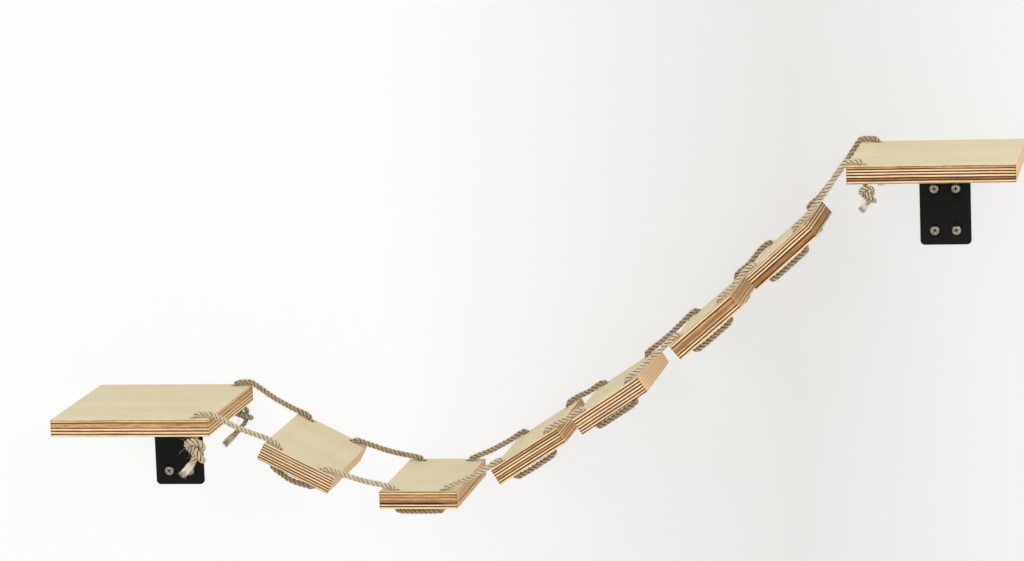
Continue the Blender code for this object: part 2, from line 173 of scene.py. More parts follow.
# Finer detail that only the finished surfaces have
EASED_EDGE = 0.0006
EDGE_ROUNDNESS = 0.6
HOLE_RIM = 0.0004
NEAR_RIM = 5e-5

# Strands: how far the rope runs in a turn, their radius, their way out from its middle, and how much they wander
STRANDS = 3
STRAND_LAY = 0.0145
STRAND = 0.00124
STRAND_OUT = 0.00174
STRAND_SIDES = 12
STRAND_SHIFT = 0.31
WANDER = 0.045
WANDER_STEP = 0.006
TURN_WANDER = 0.4

# Rows of rings along a rope, how smooth it is, and how its pieces end
RING_STEP = 0.0007
SMOOTHINGS = 4
LEAST_ROWS = 5
TUCK = 0.003
TUCK_THICKNESS = 0.82
ROWS_PAST_EDGE = {"front": 3, "back": 9}

# The tails are unlaid: how much of each, how sharply, and how far apart, stepped, flat and swollen its strands are
UNLAID = {"front": (0.017, 0.007), "back": (0.016, 0.008)}
UNLAID_RISE = 2.2
UNLAID_SPREAD = 0.0023
UNLAID_STEP = 0.0005
UNLAID_FLAT = 0.35
UNLAID_SWELL = 0.12

# Hairs: their taper, and the least and most radius and length of those all over, in a tail's brush and at a knot
HAIR_TAPER = (1.0, 0.9, 0.7, 0.15)
HAIR_SIDES = 3
HAIR_MAP = 0.003
NO_HAIRS_WAY = (0.31, 0.87, 0.38)
FIBRES_PER_METRE = 2600
FIBRE_RADII = (0.00004, 0.00008)
FIBRE_LENGTHS = (0.0008, 0.0065)
FIBRE_SPREAD = (2.2, 0.0011)
BRUSH_FIBRES = 260
BRUSH_RADII = (0.00009, 0.00016)
BRUSH_LENGTHS = (0.0025, 0.0060)
BRUSH_DEPTH = 0.0045
BRUSH_WIDTH = 1.35
WISPS = {"lower_front_knot_jute": 34}
FEWER_WISPS = 9
WISP_RADII = (0.00009, 0.0002)
WISP_LENGTHS = (0.004, 0.0125)

# How hairs leave the rope: how far out they start, as a share of its radius, how they lean, and how they curl
FIBRE_SEAT, FIBRE_LEAN, FIBRE_OUT, FIBRE_ROUND = 0.86, 0.7, 0.55, 0.6
FIBRE_CURL, FIBRE_CURL_SPREAD = 0.6, 0.5
BRUSH_SCATTER, BRUSH_SWAY, BRUSH_CURL = 0.0005, 0.16, 0.12
WISP_SEAT, WISP_LEAN, WISP_CURL = 0.8, 0.35, 0.3
WISP_DRIFT, WISP_DROP = (0.8, 0.2, 0.0), (0.0, 0.0, 0.25)

# How unlaid a rope may be where its wisps start
NEARLY_LAID = 0.1

# Seeds of the random draws
SHELF_SEED, PLANK_SEED, SCREW_SEED = 20, 40, 5
ROPE_SEEDS = {"front": 70, "back": 71}

# The wall's own glow to the camera, by the place along it in metres, and its share of what the camera sees there
GLOW = (
    (0.22, linear(255, 255, 255)),
    (0.45, linear(243, 242, 240)),
    (0.66, linear(233, 231, 228)),
    (0.95, linear(247, 247, 246)),
)
GLOW_SHARE = 0.85
MOTTLE, MOTTLE_TONE = 3.0, 0.985

# The room's planes, as place, size, turn and colour, its light, and its lamps, as place, target, size, power and
# colour
PLANES = {
    "room_wall": ((0.4, 0.0002, 2.5), (14, 6, 1), UPRIGHT, linear(249, 249, 249)),
    "room_floor": ((0.4, 0.0, -0.5), (16, 16, 1), (0, 0, 0), linear(243, 243, 243)),
}
ROOM_LIGHT = 0.52
LAMPS = {
    "key_softbox": ((-1.5, -2.8, 2.5), (0.4, -0.1, 0.1), 2.6, 35, (1.0, 0.995, 0.985)),
    "front_fill": ((1.0, -3.8, 1.0), (0.4, -0.1, 0.1), 3.0, 18, (1.0, 1.0, 1.0)),
    "side_fill": ((2.7, -1.7, 2.0), (0.5, -0.1, 0.1), 1.8, 26, (1.0, 1.0, 1.0)),
}

# Camera, as place, turn, tilt and roll in degrees, and focal length in widths of the picture
CAMERA_PLACE = (1.1050, -4.3016, 0.8376)
CAMERA_TURN = (-9.774, 8.691, 2.051)
CAMERA_FOCAL = 4245.2 / 1024
SENSOR = 36.0


# Modelling by hand


def start_piece(name, add, scale=(1, 1, 1), **settings):
    """Adds a primitive with nothing else selected, sizes it and names it."""
    bpy.ops.object.select_all(action="DESELECT")
    add(**settings)
    piece = bpy.context.object
    piece.name = piece.data.name = name
    piece.scale = scale
    return piece


def choose(piece):
    bpy.ops.object.select_all(action="DESELECT")
    piece.select_set(True)
    bpy.context.view_layer.objects.active = piece


def settle(piece):
    """Puts the piece's place into its mesh, so that its object sits at the origin."""
    choose(piece)
    bpy.ops.object.transform_apply(location=True, rotation=True, scale=True)


def select_where(piece, kind, test):
    """Enters edit mode with just those vertices, edges or faces selected."""
    choose(piece)
    bpy.ops.object.mode_set(mode="EDIT")
    bpy.ops.mesh.select_mode(type=kind)
    bpy.ops.mesh.select_all(action="DESELECT")
    bpy.ops.object.mode_set(mode="OBJECT")
    group = {"VERT": piece.data.vertices, "EDGE": piece.data.edges, "FACE": piece.data.polygons}[kind]
    for part in group:
        part.select = test(part)
    bpy.ops.object.mode_set(mode="EDIT")


def everything(part):
    return True


def corners_of(piece, part):
    """Where the corners of an edge or a face are."""
    return [piece.data.vertices[number].co for number in part.vertices]


def reshape(piece, kind, test, operator, **settings):
    """Runs a mesh operator on just those vertices, edges or faces."""
    select_where(piece, kind, test)
    operator(**settings)
    bpy.ops.object.mode_set(mode="OBJECT")


def finish_with(piece, kind, **settings):
    """Adds a modifier and applies it."""
    choose(piece)
    modifier = piece.modifiers.new(kind.lower(), kind)
    for name, value in settings.items():
        setattr(modifier, name, value)
    bpy.ops.object.modifier_apply(modifier=modifier.name)


def smooth(piece, degrees=32):
    choose(piece)
    bpy.ops.object.shade_smooth_by_angle(angle=radians(degrees))


def cut(piece, *cutters):
    """Takes the cutters' shapes out of the piece."""
    for cutter in cutters:
        finish_with(piece, "BOOLEAN", operation="DIFFERENCE", solver="EXACT", object=cutter)
        bpy.data.objects.remove(cutter)


def drill(start, end, radius, sides=32):
    """A round cutter along that line."""
    axis = Vector(end) - Vector(start)
    turn = axis.to_track_quat("Z", "X").to_euler()
    shape = {"vertices": sides, "radius": radius, "depth": axis.length}
    middle = (Vector(start) + Vector(end)) / 2
    return start_piece("drill", bpy.ops.mesh.primitive_cylinder_add, location=middle, rotation=turn, **shape)


def show(thing):
    bpy.context.scene.collection.objects.link(thing)


def finished(piece, body, nodes, finish):
    """Gives the piece its finish and its body, and hides the CAD nodes that it stands for."""
    piece.data.materials.clear()
    piece.data.materials.append(finish)
    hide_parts(*nodes)
    if body:
        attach(piece, body)


# Node trees


class Nodes:
    """A node tree, with short ways to add nodes to it. A colour is a tuple of its red, green and blue."""

    def __init__(self, tree):
        self.tree = tree

    def add(self, kind, inputs=None, **settings):
        node = self.tree.nodes.new("ShaderNode" + kind)
        for name, value in settings.items():
            setattr(node, name, value)
        for socket, value in (inputs or {}).items():
            self.put(node.inputs[socket], value)
        return node

    def put(self, socket, value):
        if isinstance(value, bpy.types.NodeSocket):
            self.tree.links.new(value, socket)
        else:
            socket.default_value = (*value, 1.0) if socket.type == "RGBA" else value

    def math(self, operation, *values):
        return self.add("Math", dict(enumerate(values)), operation=operation).outputs[0]

    def plus(self, a, b):
        return self.math("ADD", a, b)

    def times(self, a, b):
        return self.math("MULTIPLY", a, b)

    def mapped(self, vector, kind="POINT", **changes):
        inputs = {name.title(): value for name, value in changes.items()}
        return self.add("Mapping", {"Vector": vector, **inputs}, vector_type=kind).outputs[0]

    def noise(self, vector, scale=1.0, *settings):
        """Noise by its scale and, where they aren't the usual ones, its detail, roughness and distortion."""
        names = ("Vector", "Scale", "Detail", "Roughness", "Distortion")
        return self.add("TexNoise", dict(zip(names, (vector, scale, *settings)))).outputs["Fac"]

    def ramp(self, factor, stops):
        """A colour for each factor. A stop is its place and its colour, or a grey value."""
        node = self.add("ValToRGB", {"Fac": factor})
        band = node.color_ramp
        while len(band.elements) < len(stops):
            band.elements.new(1.0)
        for element, (place, colour) in zip(band.elements, stops):
            element.position = place
            element.color = (*(colour if isinstance(colour, tuple) else [colour] * 3), 1.0)
        return node.outputs["Color"]

    def mix(self, factor, a, b, blend="MIX"):
        return self.add("Mix", {0: factor, 6: a, 7: b}, data_type="RGBA", blend_type=blend).outputs[2]

    def range(self, value, *limits):
        """A value from between the first two limits, brought between the next two, or else between 0 and 1."""
        return self.add("MapRange", dict(enumerate((value, *limits)))).outputs[0]

    def split(self, vector):
        return self.add("SeparateXYZ", {0: vector}).outputs

    def joined(self, x, y):
        return self.add("CombineXYZ", {0: x, 1: y}).outputs[0]

    def object_place(self):
        return self.add("TexCoord").outputs["Object"]

    def attribute(self, name):
        return self.add("Attribute", attribute_name=name).outputs["Fac"]

    def seen(self):
        """1 for what the camera sees, straight, in a reflection or through something clear, and else 0."""
        ray = self.add("LightPath").outputs
        straight = self.math("MAXIMUM", ray["Is Camera Ray"], ray["Is Glossy Ray"])
        return self.math("MAXIMUM", straight, ray["Is Transmission Ray"])


class Finish(Nodes):
    """A material, by its shader's inputs."""

    def __init__(self, name, **constants):
        self.material = bpy.data.materials.new(name)
        self.material.use_nodes = True
        super().__init__(self.material.node_tree)
        self.shader = self.tree.nodes["Principled BSDF"]
        for socket, value in constants.items():
            self.shader.inputs[socket.replace("_", " ")].default_value = value

    def bump(self, height, distance, strength=1.0):
        node = self.add("Bump", {"Height": height, "Distance": distance, "Strength": strength})
        self.set("Normal", node.outputs[0])

    def set(self, socket, value):
        self.put(self.shader.inputs[socket], value)


# Plywood. Each board has a layup of its own, from its top face down: a ply's tone and its thickness

# The void tone is painted shade: the dark inside of a gap in a core ply
TONES = {
    "void": linear(52, 26, 14),
    "line": linear(84, 44, 20),
    "brown": linear(164, 120, 80),
    "tan": linear(206, 163, 113),
    "cream": linear(251, 217, 167),
}

# How strongly the grain shows in each tone
FIGURES = {"void": 0.2, "line": 0.4, "brown": 1.0, "tan": 0.9, "cream": 0.4}
LAYUPS = {
    "lower_shelf": "cream .8, brown .9, cream 1.3, line 1.2, tan 1.9, tan 2.5, line .9, cream 2, line 1.3, "
    "cream 2, line 1.2, cream 2.2",
    "upper_shelf": "cream .7, brown 1.1, tan 1.1, line 1.3, cream 1.4, line 1.3, cream 1.5, line 1.4, cream 1.6, "
    "line 1.4, brown 1.1, line 1.5, cream 1.5, brown 1.1",
    "plank_1": "cream .6, line 1.2, cream 1.5, line 1.3, cream 1.5, line 1.3, cream 1.6, line 1.4, cream 1.6, "
    "line 1.4, cream 1.2, line 1.4, cream 1.3, brown .7",
    "plank_2": "line 1, cream 1.4, brown 1.7, tan 1.5, brown 1.3, tan 1.9, brown 2.6, void 1.5, brown .6, "
    "cream 1.2, void 1.2, cream 2.1",
    "plank_3": "cream .9, line 1.2, tan 1.4, line 1.5, cream 1.4, line 1.3, cream 1.8, line 1.1, tan 1.6, "
    "line 1.2, cream 1.4, line 1.4, cream 2",
    "plank_4": "cream 1.7, line 1.4, cream 1.5, line 1.4, cream 1.6, line 1.4, cream 1.7, line 1.4, cream 1.6, "
    "line 1.4, cream 1.4, line 1.3",
    "plank_5": "tan .8, cream 1.7, line 1.4, tan 1.6, brown 4.5, tan 1.7, line 1.3, cream 1.7, line 1.3, "
    "cream 1.8",
    "plank_6": "cream .5, brown 1, cream 1.4, line 1.5, cream 1.3, line 1.5, cream 1.7, line 1.4, brown 4.7, "
    "line 1.3, cream 1.7",
}

# How pale and even the end faces of each board are: partly the end grain's own tone, partly painted light on them
PALE_LIT_ENDS = dict(zip(LAYUPS, (0.1, 0.75, 0.65, 0.3, 0.35, 0.8, 0.4, 0.15)))

# How soft the joint between two plies is, as a share of a ply
PLY_JOINT = 0.14

# The wood's patterns, as how fine they are along, across and through a board, detail, roughness and distortion
STREAKS = ((75, 75, 850), 3.0, 0.65, 0.5)
DOTS = ((1300, 1300, 420), 2.0, 0.7)
STAINS = ((14, 14, 420), 2.0)
FIGURE = ((5, 26, 6), 3.0, 0.55, 1.0)
PORES = ((90, 1300, 40), 2.0, 0.7)

# How far a surface faces up or endwards where it starts to count as a face or an end, and where it fully does
FACE_ON, END_ON = (0.6, 0.9), (0.6, 0.8)

# The shares of streaks and dots in the grain, and what the grain and the pores do to a tone
GRAIN_SHARES = (0.72, 0.28)
GRAIN_TONES = ((0.39, 0.6), (0.5, 1.0), (0.61, 1.35))
PORE_TONES = ((0.28, 0.94), (0.45, 1.0), (0.7, 1.01))

# Where stains lie in their pattern and how strong they are, how rough the grain is, and the relief with its pores
DARK_STAINED, PALE_STAINED, SAW_BROWNED = (0.58, 0.72, 0.0, 0.5), (0.28, 0.42, 0.4, 0.0), 0.5
WOOD_ROUGHNESS = (0.3, 0.7, 0.6, 0.8)
PORE_RELIEF, FACE_RELIEF, WOOD_BUMP = 0.3, 0.35, (0.00010, 0.5)

# How the plies wander: a pattern, its detail and its height
PLY_WAVES = (((18, 18, 60), 1.0, 0.0007), ((120, 120, 220), 2.0, 0.00022))

DARK_STAIN = linear(122, 74, 42)
PALE_STAIN = linear(214, 170, 118)
# The end faces' pale tone: partly end grain's own, partly painted light
PALE_LIT_END = linear(246, 208, 158)
SAW_BROWN = linear(104, 58, 30)
SAW_BROWN_FROM = (0.0024, 0.0004)
FACE_TONES = ((0.3, linear(220, 207, 168)), (0.7, linear(227, 216, 181)))
COAT_TONES = ((0.35, linear(8, 10, 9)), (0.62, linear(11, 13, 12)), (0.74, linear(19, 21, 20)))
ZINC_TONES = ((0.3, linear(128, 119, 104)), (0.55, linear(166, 158, 144)), (0.75, linear(190, 184, 172)))
# The painted shade down in the screws' cross recess
RECESS_SHADE = linear(38, 27, 22)

# Patterns, roughness and bumps of the coat and of the zinc, and what the painted shade in the screws' recess does
# to the zinc
ORANGE_PEEL, RUBBED, COAT_ROUGHNESS, COAT_BUMP = 1500, (38, 4.0, 0.6), (0.3, 0.7, 0.48, 0.62), (0.00010, 0.45)
TARNISH, SCRATCHES = (420, 4.0, 0.6), (900, 4200, 900)
ZINC_ROUGHNESS, ZINC_BUMP = (0.3, 0.7, 0.50, 0.34), (0.00003, 0.4)
RECESS_SHADE_METAL, RECESS_SHADE_ROUGHNESS = 0.15, 0.4

# Jute: where its fibres' tones lie, in full light and in painted shade, and its other tones
FIBRE_STOPS = (0.26, 0.40, 0.55, 0.75)
LIT_JUTE = (linear(150, 124, 92), linear(214, 193, 158), linear(241, 227, 197), linear(252, 244, 226))
SHADED_JUTE = (linear(70, 52, 33), linear(114, 90, 61), linear(148, 122, 87), linear(184, 160, 121))
# Painted shade in the grooves between yarns
YARN_GROOVE_SHADE = linear(116, 88, 56)
JUTE_PATCH = linear(172, 144, 102)
# Painted shade between strands
STRAND_GAP_SHADE = linear(92, 60, 34)
COMBED_JUTE = linear(250, 241, 222)

# A strand's yarns, the turns of its yarns and fibres in a metre, and how fine its fibres and patches are
YARNS, YARN_TURNS, FIBRE_TURNS = 5.0, -70.0, -14.0
FIBRES_ROUND, FIBRES_ALONG, PATCHES_ALONG = 34.0, 260.0, 90.0
FIBRE_NOISE = (1.0, 3.0, 0.7)

# Where the painted shade in the grooves between yarns, the patches and the painted shade between strands lie, and
# how strong they are
YARN_GROOVE_SHADED, PATCHED, STRAND_GAP_SHADED = (-1.0, -0.3, 0.40, 0.0), (0.4, 0.75, 0.0, 0.3), (-0.35, 0.2)

# How pale a combed tail gets, and the relief of fibres and yarns
COMBED = 0.7
FIBRE_RELIEF, YARN_RELIEF, JUTE_BUMP = 0.6, 0.25, (0.0003, 0.8)

# The ropes' finishes: how deep in painted shade they are, and how dark the painted shade between their strands is
JUTES = {"in_light": (0.0, 0.55), "knotted": (0.1, 0.85), "in_shade": (0.5, 0.75), "shade_dulled": (0.55, 0.75)}


def ply_stops(layup, values):
    """The ramp's stops for a layup, from the underside up: two in each ply, so that only its joints are soft."""
    plies = [ply.split() for ply in reversed(layup.split(", "))]
    whole = sum(float(thickness) for _, thickness in plies)
    stops, at = [], 0.0
    for tone, thickness in plies:
        share = float(thickness) / whole
        stops += [(at + place * share, values[tone]) for place in (PLY_JOINT, 1 - PLY_JOINT)]
        at += share
    return stops


def plywood(name, matrix, seed):
    """Birch plywood for one board, in the board's own frame, which the matrix gives."""
    wood = Finish(name + "_birch", Specular_IOR_Level=0.16)
    place, turn, _ = matrix.inverted().decompose()
    here = wood.mapped(wood.object_place(), location=place, rotation=turn.to_euler())
    normal = wood.add("TexCoord").outputs["Normal"]
    facing = wood.split(wood.mapped(normal, "VECTOR", rotation=turn.to_euler()))
    shift = tuple(np.random.default_rng(seed).uniform(-5, 5, 3))
    on_face = wood.range(wood.math("ABSOLUTE", facing[2]), *FACE_ON)
    on_end = wood.range(wood.math("ABSOLUTE", facing[0]), *END_ON)

    def pattern(fineness, *settings):
        return wood.noise(wood.mapped(here, location=shift, scale=fineness), 1.0, *settings)

    # The plies wander a little along the board
    height = wood.split(here)[2]
    for fineness, detail, amount in PLY_WAVES:
        wave = wood.math("SUBTRACT", pattern(fineness, detail), 0.5)
        height = wood.plus(height, wood.times(wave, amount))
    share = wood.math("MULTIPLY_ADD", height, 1 / BOARD, 0.5)
    layer_tone = wood.ramp(share, ply_stops(LAYUPS[name], TONES))
    figured = wood.ramp(share, ply_stops(LAYUPS[name], FIGURES))

    # Long grain shows as streaks along the edge, end grain as short dots, and glue stains both here and there
    streaks, dots, stain = pattern(*STREAKS), pattern(*DOTS), pattern(*STAINS)
    grain = wood.plus(*(wood.times(*pair) for pair in zip((streaks, dots), GRAIN_SHARES)))
    streaked = wood.mix(1.0, layer_tone, wood.ramp(grain, GRAIN_TONES), "MULTIPLY")
    edge_tone = wood.mix(figured, layer_tone, streaked)
    edge_tone = wood.mix(wood.range(stain, *DARK_STAINED), edge_tone, DARK_STAIN)
    edge_tone = wood.mix(wood.range(stain, *PALE_STAINED), edge_tone, PALE_STAIN)
    # End faces pale toward an even tone: partly end grain, partly painted light on the ends
    edge_tone = wood.mix(wood.times(on_end, PALE_LIT_ENDS[name]), edge_tone, PALE_LIT_END)

    # The saw has browned the edges near the board's corners
    half = (SHELF_WIDTH if "shelf" in name else PLANK_LENGTH) / 2
    from_middle = wood.math("ABSOLUTE", wood.split(here)[0])
    corner = wood.range(from_middle, *(half - inwards for inwards in SAW_BROWN_FROM), 0.0, SAW_BROWNED)
    browned = wood.times(wood.times(corner, streaks), wood.math("SUBTRACT", 1.0, on_end))
    edge_tone = wood.mix(browned, edge_tone, SAW_BROWN)

    # The face veneer is pale and even, with a faint figure along the board and fine pores
    pores = pattern(*PORES)
    face_tone = wood.ramp(pattern(*FIGURE), FACE_TONES)
    face_tone = wood.mix(1.0, face_tone, wood.ramp(pores, PORE_TONES), "MULTIPLY")

    wood.set("Base Color", wood.mix(on_face, edge_tone, face_tone))
    wood.set("Roughness", wood.range(grain, *WOOD_ROUGHNESS))
    relief = wood.mix(on_face, grain, wood.plus(wood.times(pores, PORE_RELIEF), FACE_RELIEF))
    wood.bump(relief, *WOOD_BUMP)
    return wood.material


def powder_coat():
    coat = Finish("black_powder_coat", Specular_IOR_Level=0.16)
    here = coat.object_place()
    orange_peel = coat.noise(here, ORANGE_PEEL)
    rubbed = coat.noise(here, *RUBBED)
    coat.set("Base Color", coat.ramp(rubbed, COAT_TONES))
    coat.set("Roughness", coat.range(rubbed, *COAT_ROUGHNESS))
    coat.bump(orange_peel, *COAT_BUMP)
    return coat.material


def zinc_plate():
    """Zinc plate, matt, and dark with painted shade down in the cross recess, which the screws mark."""
    zinc = Finish("zinc_plated_steel")
    here = zinc.object_place()
    tarnish = zinc.noise(here, *TARNISH)
    scratches = zinc.noise(zinc.mapped(here, scale=SCRATCHES))
    # Painted shade in the cross recess: a dark tone, less metal and more roughness
    shade_mask = zinc.attribute("recess")
    zinc.set("Base Color", zinc.mix(shade_mask, zinc.ramp(tarnish, ZINC_TONES), RECESS_SHADE))
    zinc.set("Metallic", zinc.range(shade_mask, 0.0, 1.0, 1.0, RECESS_SHADE_METAL))
    shade_dulled = zinc.times(shade_mask, RECESS_SHADE_ROUGHNESS)
    zinc.set("Roughness", zinc.plus(zinc.range(tarnish, *ZINC_ROUGHNESS), shade_dulled))
    zinc.bump(scratches, *ZINC_BUMP)
    return zinc.material


def jute(name, depth, gap_shade):
    """Twisted jute, from the rope's own map: the way round a strand, and metres along the rope. It gets darker
    with depth, which is painted shade from 0 for rope in full light to 1, and with painted shade between strands
    where they are laid. Unlaid it is pale."""
    rope = Finish(name, Roughness=0.9, Specular_IOR_Level=0.2)
    round_strand, along, _ = rope.split(rope.add("UVMap", uv_map="rope").outputs[0])
    laid = rope.attribute("laid")
    lean = rope.times(along, YARN_TURNS)
    yarn = rope.math("SINE", rope.times(rope.math("MULTIPLY_ADD", round_strand, YARNS, lean), tau))
    across = rope.times(rope.math("MULTIPLY_ADD", along, FIBRE_TURNS, round_strand), FIBRES_ROUND)
    fibres = rope.noise(rope.joined(across, rope.times(along, FIBRES_ALONG)), *FIBRE_NOISE)
    patch = rope.noise(rope.joined(round_strand, rope.times(along, PATCHES_ALONG)))
    # The rope in full light and in painted shade, mixed by depth
    in_light, shaded = (rope.ramp(fibres, list(zip(FIBRE_STOPS, tones))) for tones in (LIT_JUTE, SHADED_JUTE))
    tone = rope.mix(depth, in_light, shaded)
    # Painted shade in the grooves between yarns
    tone = rope.mix(rope.range(yarn, *YARN_GROOVE_SHADED), tone, YARN_GROOVE_SHADE)
    tone = rope.mix(rope.range(patch, *PATCHED), tone, JUTE_PATCH)
    # Painted shade between strands, where they are laid
    inner = rope.math("COSINE", rope.times(round_strand, tau))
    between = rope.times(rope.range(inner, *STRAND_GAP_SHADED, 0.0, gap_shade), laid)
    tone = rope.mix(between, tone, STRAND_GAP_SHADE)
    combed = rope.math("MULTIPLY_ADD", laid, COMBED * (depth - 1), COMBED * (1 - depth))
    rope.set("Base Color", rope.mix(combed, tone, COMBED_JUTE))
    rope.bump(rope.plus(rope.times(fibres, FIBRE_RELIEF), rope.times(yarn, YARN_RELIEF)), *JUTE_BUMP)
    return rope.material


# Boards, brackets and screws


def plank_matrix(number):
    """The frame of a plank, from the middle of the board."""
    x, z, slope = PLANKS[number]
    turn = Matrix.Rotation(-radians(slope), 4, "Y")
    top = Matrix.Translation((x, (PLANK_FRONT_Y + PLANK_BACK_Y) / 2, LOWER_TOP + z))
    return top @ turn @ Matrix.Translation((0, 0, -BOARD / 2))


def shelf_matrix(name):
    x, top, _ = SHELVES[name]
    return Matrix.Translation((x, -SHELF_DEPTH / 2, top - BOARD / 2))


def shelf_hole_x(end):
    return end * (SHELF_WIDTH / 2 - SHELF_HOLE_FROM_END)


def make_board(name, matrix, length, depth, holes, finish, body):
    """A board with eased edges and cleanly drilled rope holes."""
    board = start_piece(name + "_plywood", bpy.ops.mesh.primitive_cube_add, (length, depth, BOARD), size=1.0)
    settle(board)
    reshape(board, "EDGE", everything, bpy.ops.mesh.bevel, offset=EASED_EDGE, segments=3, profile=EDGE_ROUNDNESS)
    cut(board, *[drill((x, y, -BOARD), (x, y, BOARD), ROPE_HOLE / 2, HOLE_SIDES) for x, y in holes])

    def on_rim(corner):
        at_face = abs(abs(corner.z) - BOARD / 2) < TINY
        from_holes = [hypot(corner.x - x, corner.y - y) for x, y in holes]
        return at_face and abs(min(from_holes) - ROPE_HOLE / 2) < NEAR_RIM

    def along_rim(edge):
        return all(map(on_rim, corners_of(board, edge)))

    reshape(board, "EDGE", along_rim, bpy.ops.mesh.bevel, offset=HOLE_RIM, segments=2)
    smooth(board)
    board.matrix_world = matrix
    settle(board)
    finished(board, body, [name], finish)


def make_boards():
    for number, (name, (_, _, bridge_end)) in enumerate(SHELVES.items()):
        matrix = shelf_matrix(name)
        holes = [(shelf_hole_x(bridge_end), y + SHELF_DEPTH / 2) for y in SHELF_ROPE_Y.values()]
        wood = plywood(name + "_shelf", matrix, SHELF_SEED + number)
        make_board(name + "_shelf", matrix, SHELF_WIDTH, SHELF_DEPTH, holes, wood, "root")
    across = PLANK_LENGTH / 2 - PLANK_HOLE_FROM_END
    along = PLANK_DEPTH / 2 - HOLE_FROM_SIDE
    holes = [(x, y) for x in (-across, across) for y in (-along, along)]
    for number in range(len(PLANKS)):
        matrix = plank_matrix(number)
        name = f"plank_{number + 1}"
        wood = plywood(name, matrix, PLANK_SEED + number)
        make_board(name, matrix, PLANK_LENGTH, PLANK_DEPTH, holes, wood, name)


def bracket_middle(name):
    x, top, _ = SHELVES[name]
    return Vector((x, 0.0, top - BOARD - GAP - WALL_LEG / 2))


def screw_places(steps):
    """Two screws at each step along a leg, as places across it and along."""
    return [(side * SCREW_SPREAD / 2, step) for step in steps for side in (-1, 1)]


def bracket_shape(name):
    """A strip of steel folded once: the wall face is laid out, extruded over the fold, and thickened."""
    size = (BRACKET_WIDTH, WALL_LEG, 1.0)
    bracket = start_piece(name, bpy.ops.mesh.primitive_plane_add, size, size=1.0, rotation=UPRIGHT)
    settle(bracket)

    def at_top(edge):
        return all(corner.z > 0 for corner in corners_of(bracket, edge))

    def on_fold(edge):
        return at_top(edge) and all(abs(corner.y) < TINY for corner in corners_of(bracket, edge))

    def at_corner(point):
        return point.co.z < TINY - WALL_LEG / 2 or point.co.y < TINY - SHELF_LEG

    over = {"value": (0, -SHELF_LEG, 0)}
    reshape(bracket, "EDGE", at_top, bpy.ops.mesh.extrude_region_move, TRANSFORM_OT_translate=over)
    reshape(bracket, "EDGE", on_fold, bpy.ops.mesh.bevel, offset=BEND_INSIDE + STEEL, segments=10)
    reshape(bracket, "VERT", at_corner, bpy.ops.mesh.bevel, offset=LEG_CORNER, segments=8, affect="VERTICES")
    reshape(bracket, "FACE", everything, bpy.ops.mesh.normals_make_consistent, inside=False)
    wall_face = min(bracket.data.polygons, key=lambda face: face.center.z)
    if wall_face.normal.y < 0:
        reshape(bracket, "FACE", everything, bpy.ops.mesh.flip_normals)
    finish_with(bracket, "SOLIDIFY", thickness=STEEL, offset=-1.0, use_even_offset=True)
    return bracket


def make_brackets(finish):
    top = WALL_LEG / 2
    wall, under = (screw[0] + SCREW_CLEARANCE for screw in (WALL_SCREW, SHELF_SCREW))
    for name in SHELVES:
        bracket = bracket_shape(name + "_bracket_steel")
        holes = [((x, -2 * STEEL, z), (x, STEEL, z), wall) for x, z in screw_places(WALL_SCREW_STEPS)]
        ends = (top - 2 * STEEL, top + STEEL)
        holes += [((x, y, ends[0]), (x, y, ends[1]), under) for x, y in screw_places(SHELF_SCREW_STEPS)]
        cut(bracket, *[drill(*hole) for hole in holes])
        edges = {"limit_method": "ANGLE", "angle_limit": radians(50)}
        finish_with(bracket, "BEVEL", width=STEEL_EDGE, segments=2, **edges)
        smooth(bracket)
        bracket.location = bracket_middle(name)
        settle(bracket)
        finished(bracket, "root", [name + "_bracket"], finish)


def screw_shape(size):
    """A pan head screw: domed head with a cross recess, and a threaded shank that narrows to its point."""
    shank, head, height, length = size
    cylinder = bpy.ops.mesh.primitive_cylinder_add
    place = (0, 0, height / 2)
    screw = start_piece("screw_shape", cylinder, vertices=36, radius=head, depth=height, location=place)
    settle(screw)

    def on_top(edge):
        return all(corner.z > height - TINY for corner in corners_of(screw, edge))

    reshape(screw, "EDGE", on_top, bpy.ops.mesh.bevel, offset=DOME * height, segments=7, profile=0.5)
    size = (SLOT[0] * head, SLOT[1] * head, SLOT[2] * height)
    at_top = {"size": 1.0, "location": (0, 0, height)}
    for turn in (0, pi / 2):
        slot = start_piece("cross_slot", bpy.ops.mesh.primitive_cube_add, size, rotation=(0, 0, turn), **at_top)
        settle(slot)
        select_where(slot, "FACE", lambda face: all(corner.z < height for corner in corners_of(slot, face)))
        bpy.ops.transform.resize(value=(SLOT_FOOT, SLOT_FOOT, 1.0))
        bpy.ops.object.mode_set(mode="OBJECT")
        cut(screw, slot)
    mark_recess(screw, head, height)
    place = (0, 0, -length / 2)
    core = start_piece("screw_core", cylinder, vertices=16, radius=CORE * shank, depth=length, location=place)
    settle(core)

    def upright(edge):
        a, b = corners_of(core, edge)
        return abs(a.z - b.z) > length / 2

    reshape(core, "EDGE", upright, bpy.ops.mesh.subdivide, number_cuts=15)
    thread = thread_shape(shank, length)
    for part in (core, thread):
        narrow_to_point(part, length)
    choose(screw)
    for part in (core, thread):
        part.select_set(True)
    bpy.ops.object.join()
    smooth(screw, 40)
    return screw


def mark_recess(screw, head, height):
    """Marks how deep each corner lies under the head's dome, for the painted shade in the cross recess."""
    mark = screw.data.attributes.new("recess", "FLOAT", "POINT")
    low, high = (share * height for share in RECESS_DEPTHS)
    for point, value in zip(screw.data.vertices, mark.data):
        out = hypot(point.co.x, point.co.y) / head
        deep = low < point.co.z < high
        value.value = 1.0 if out < RECESS_REACH and deep else (MIDDLE_SHADE if out < RECESS_MIDDLE else 0.0)


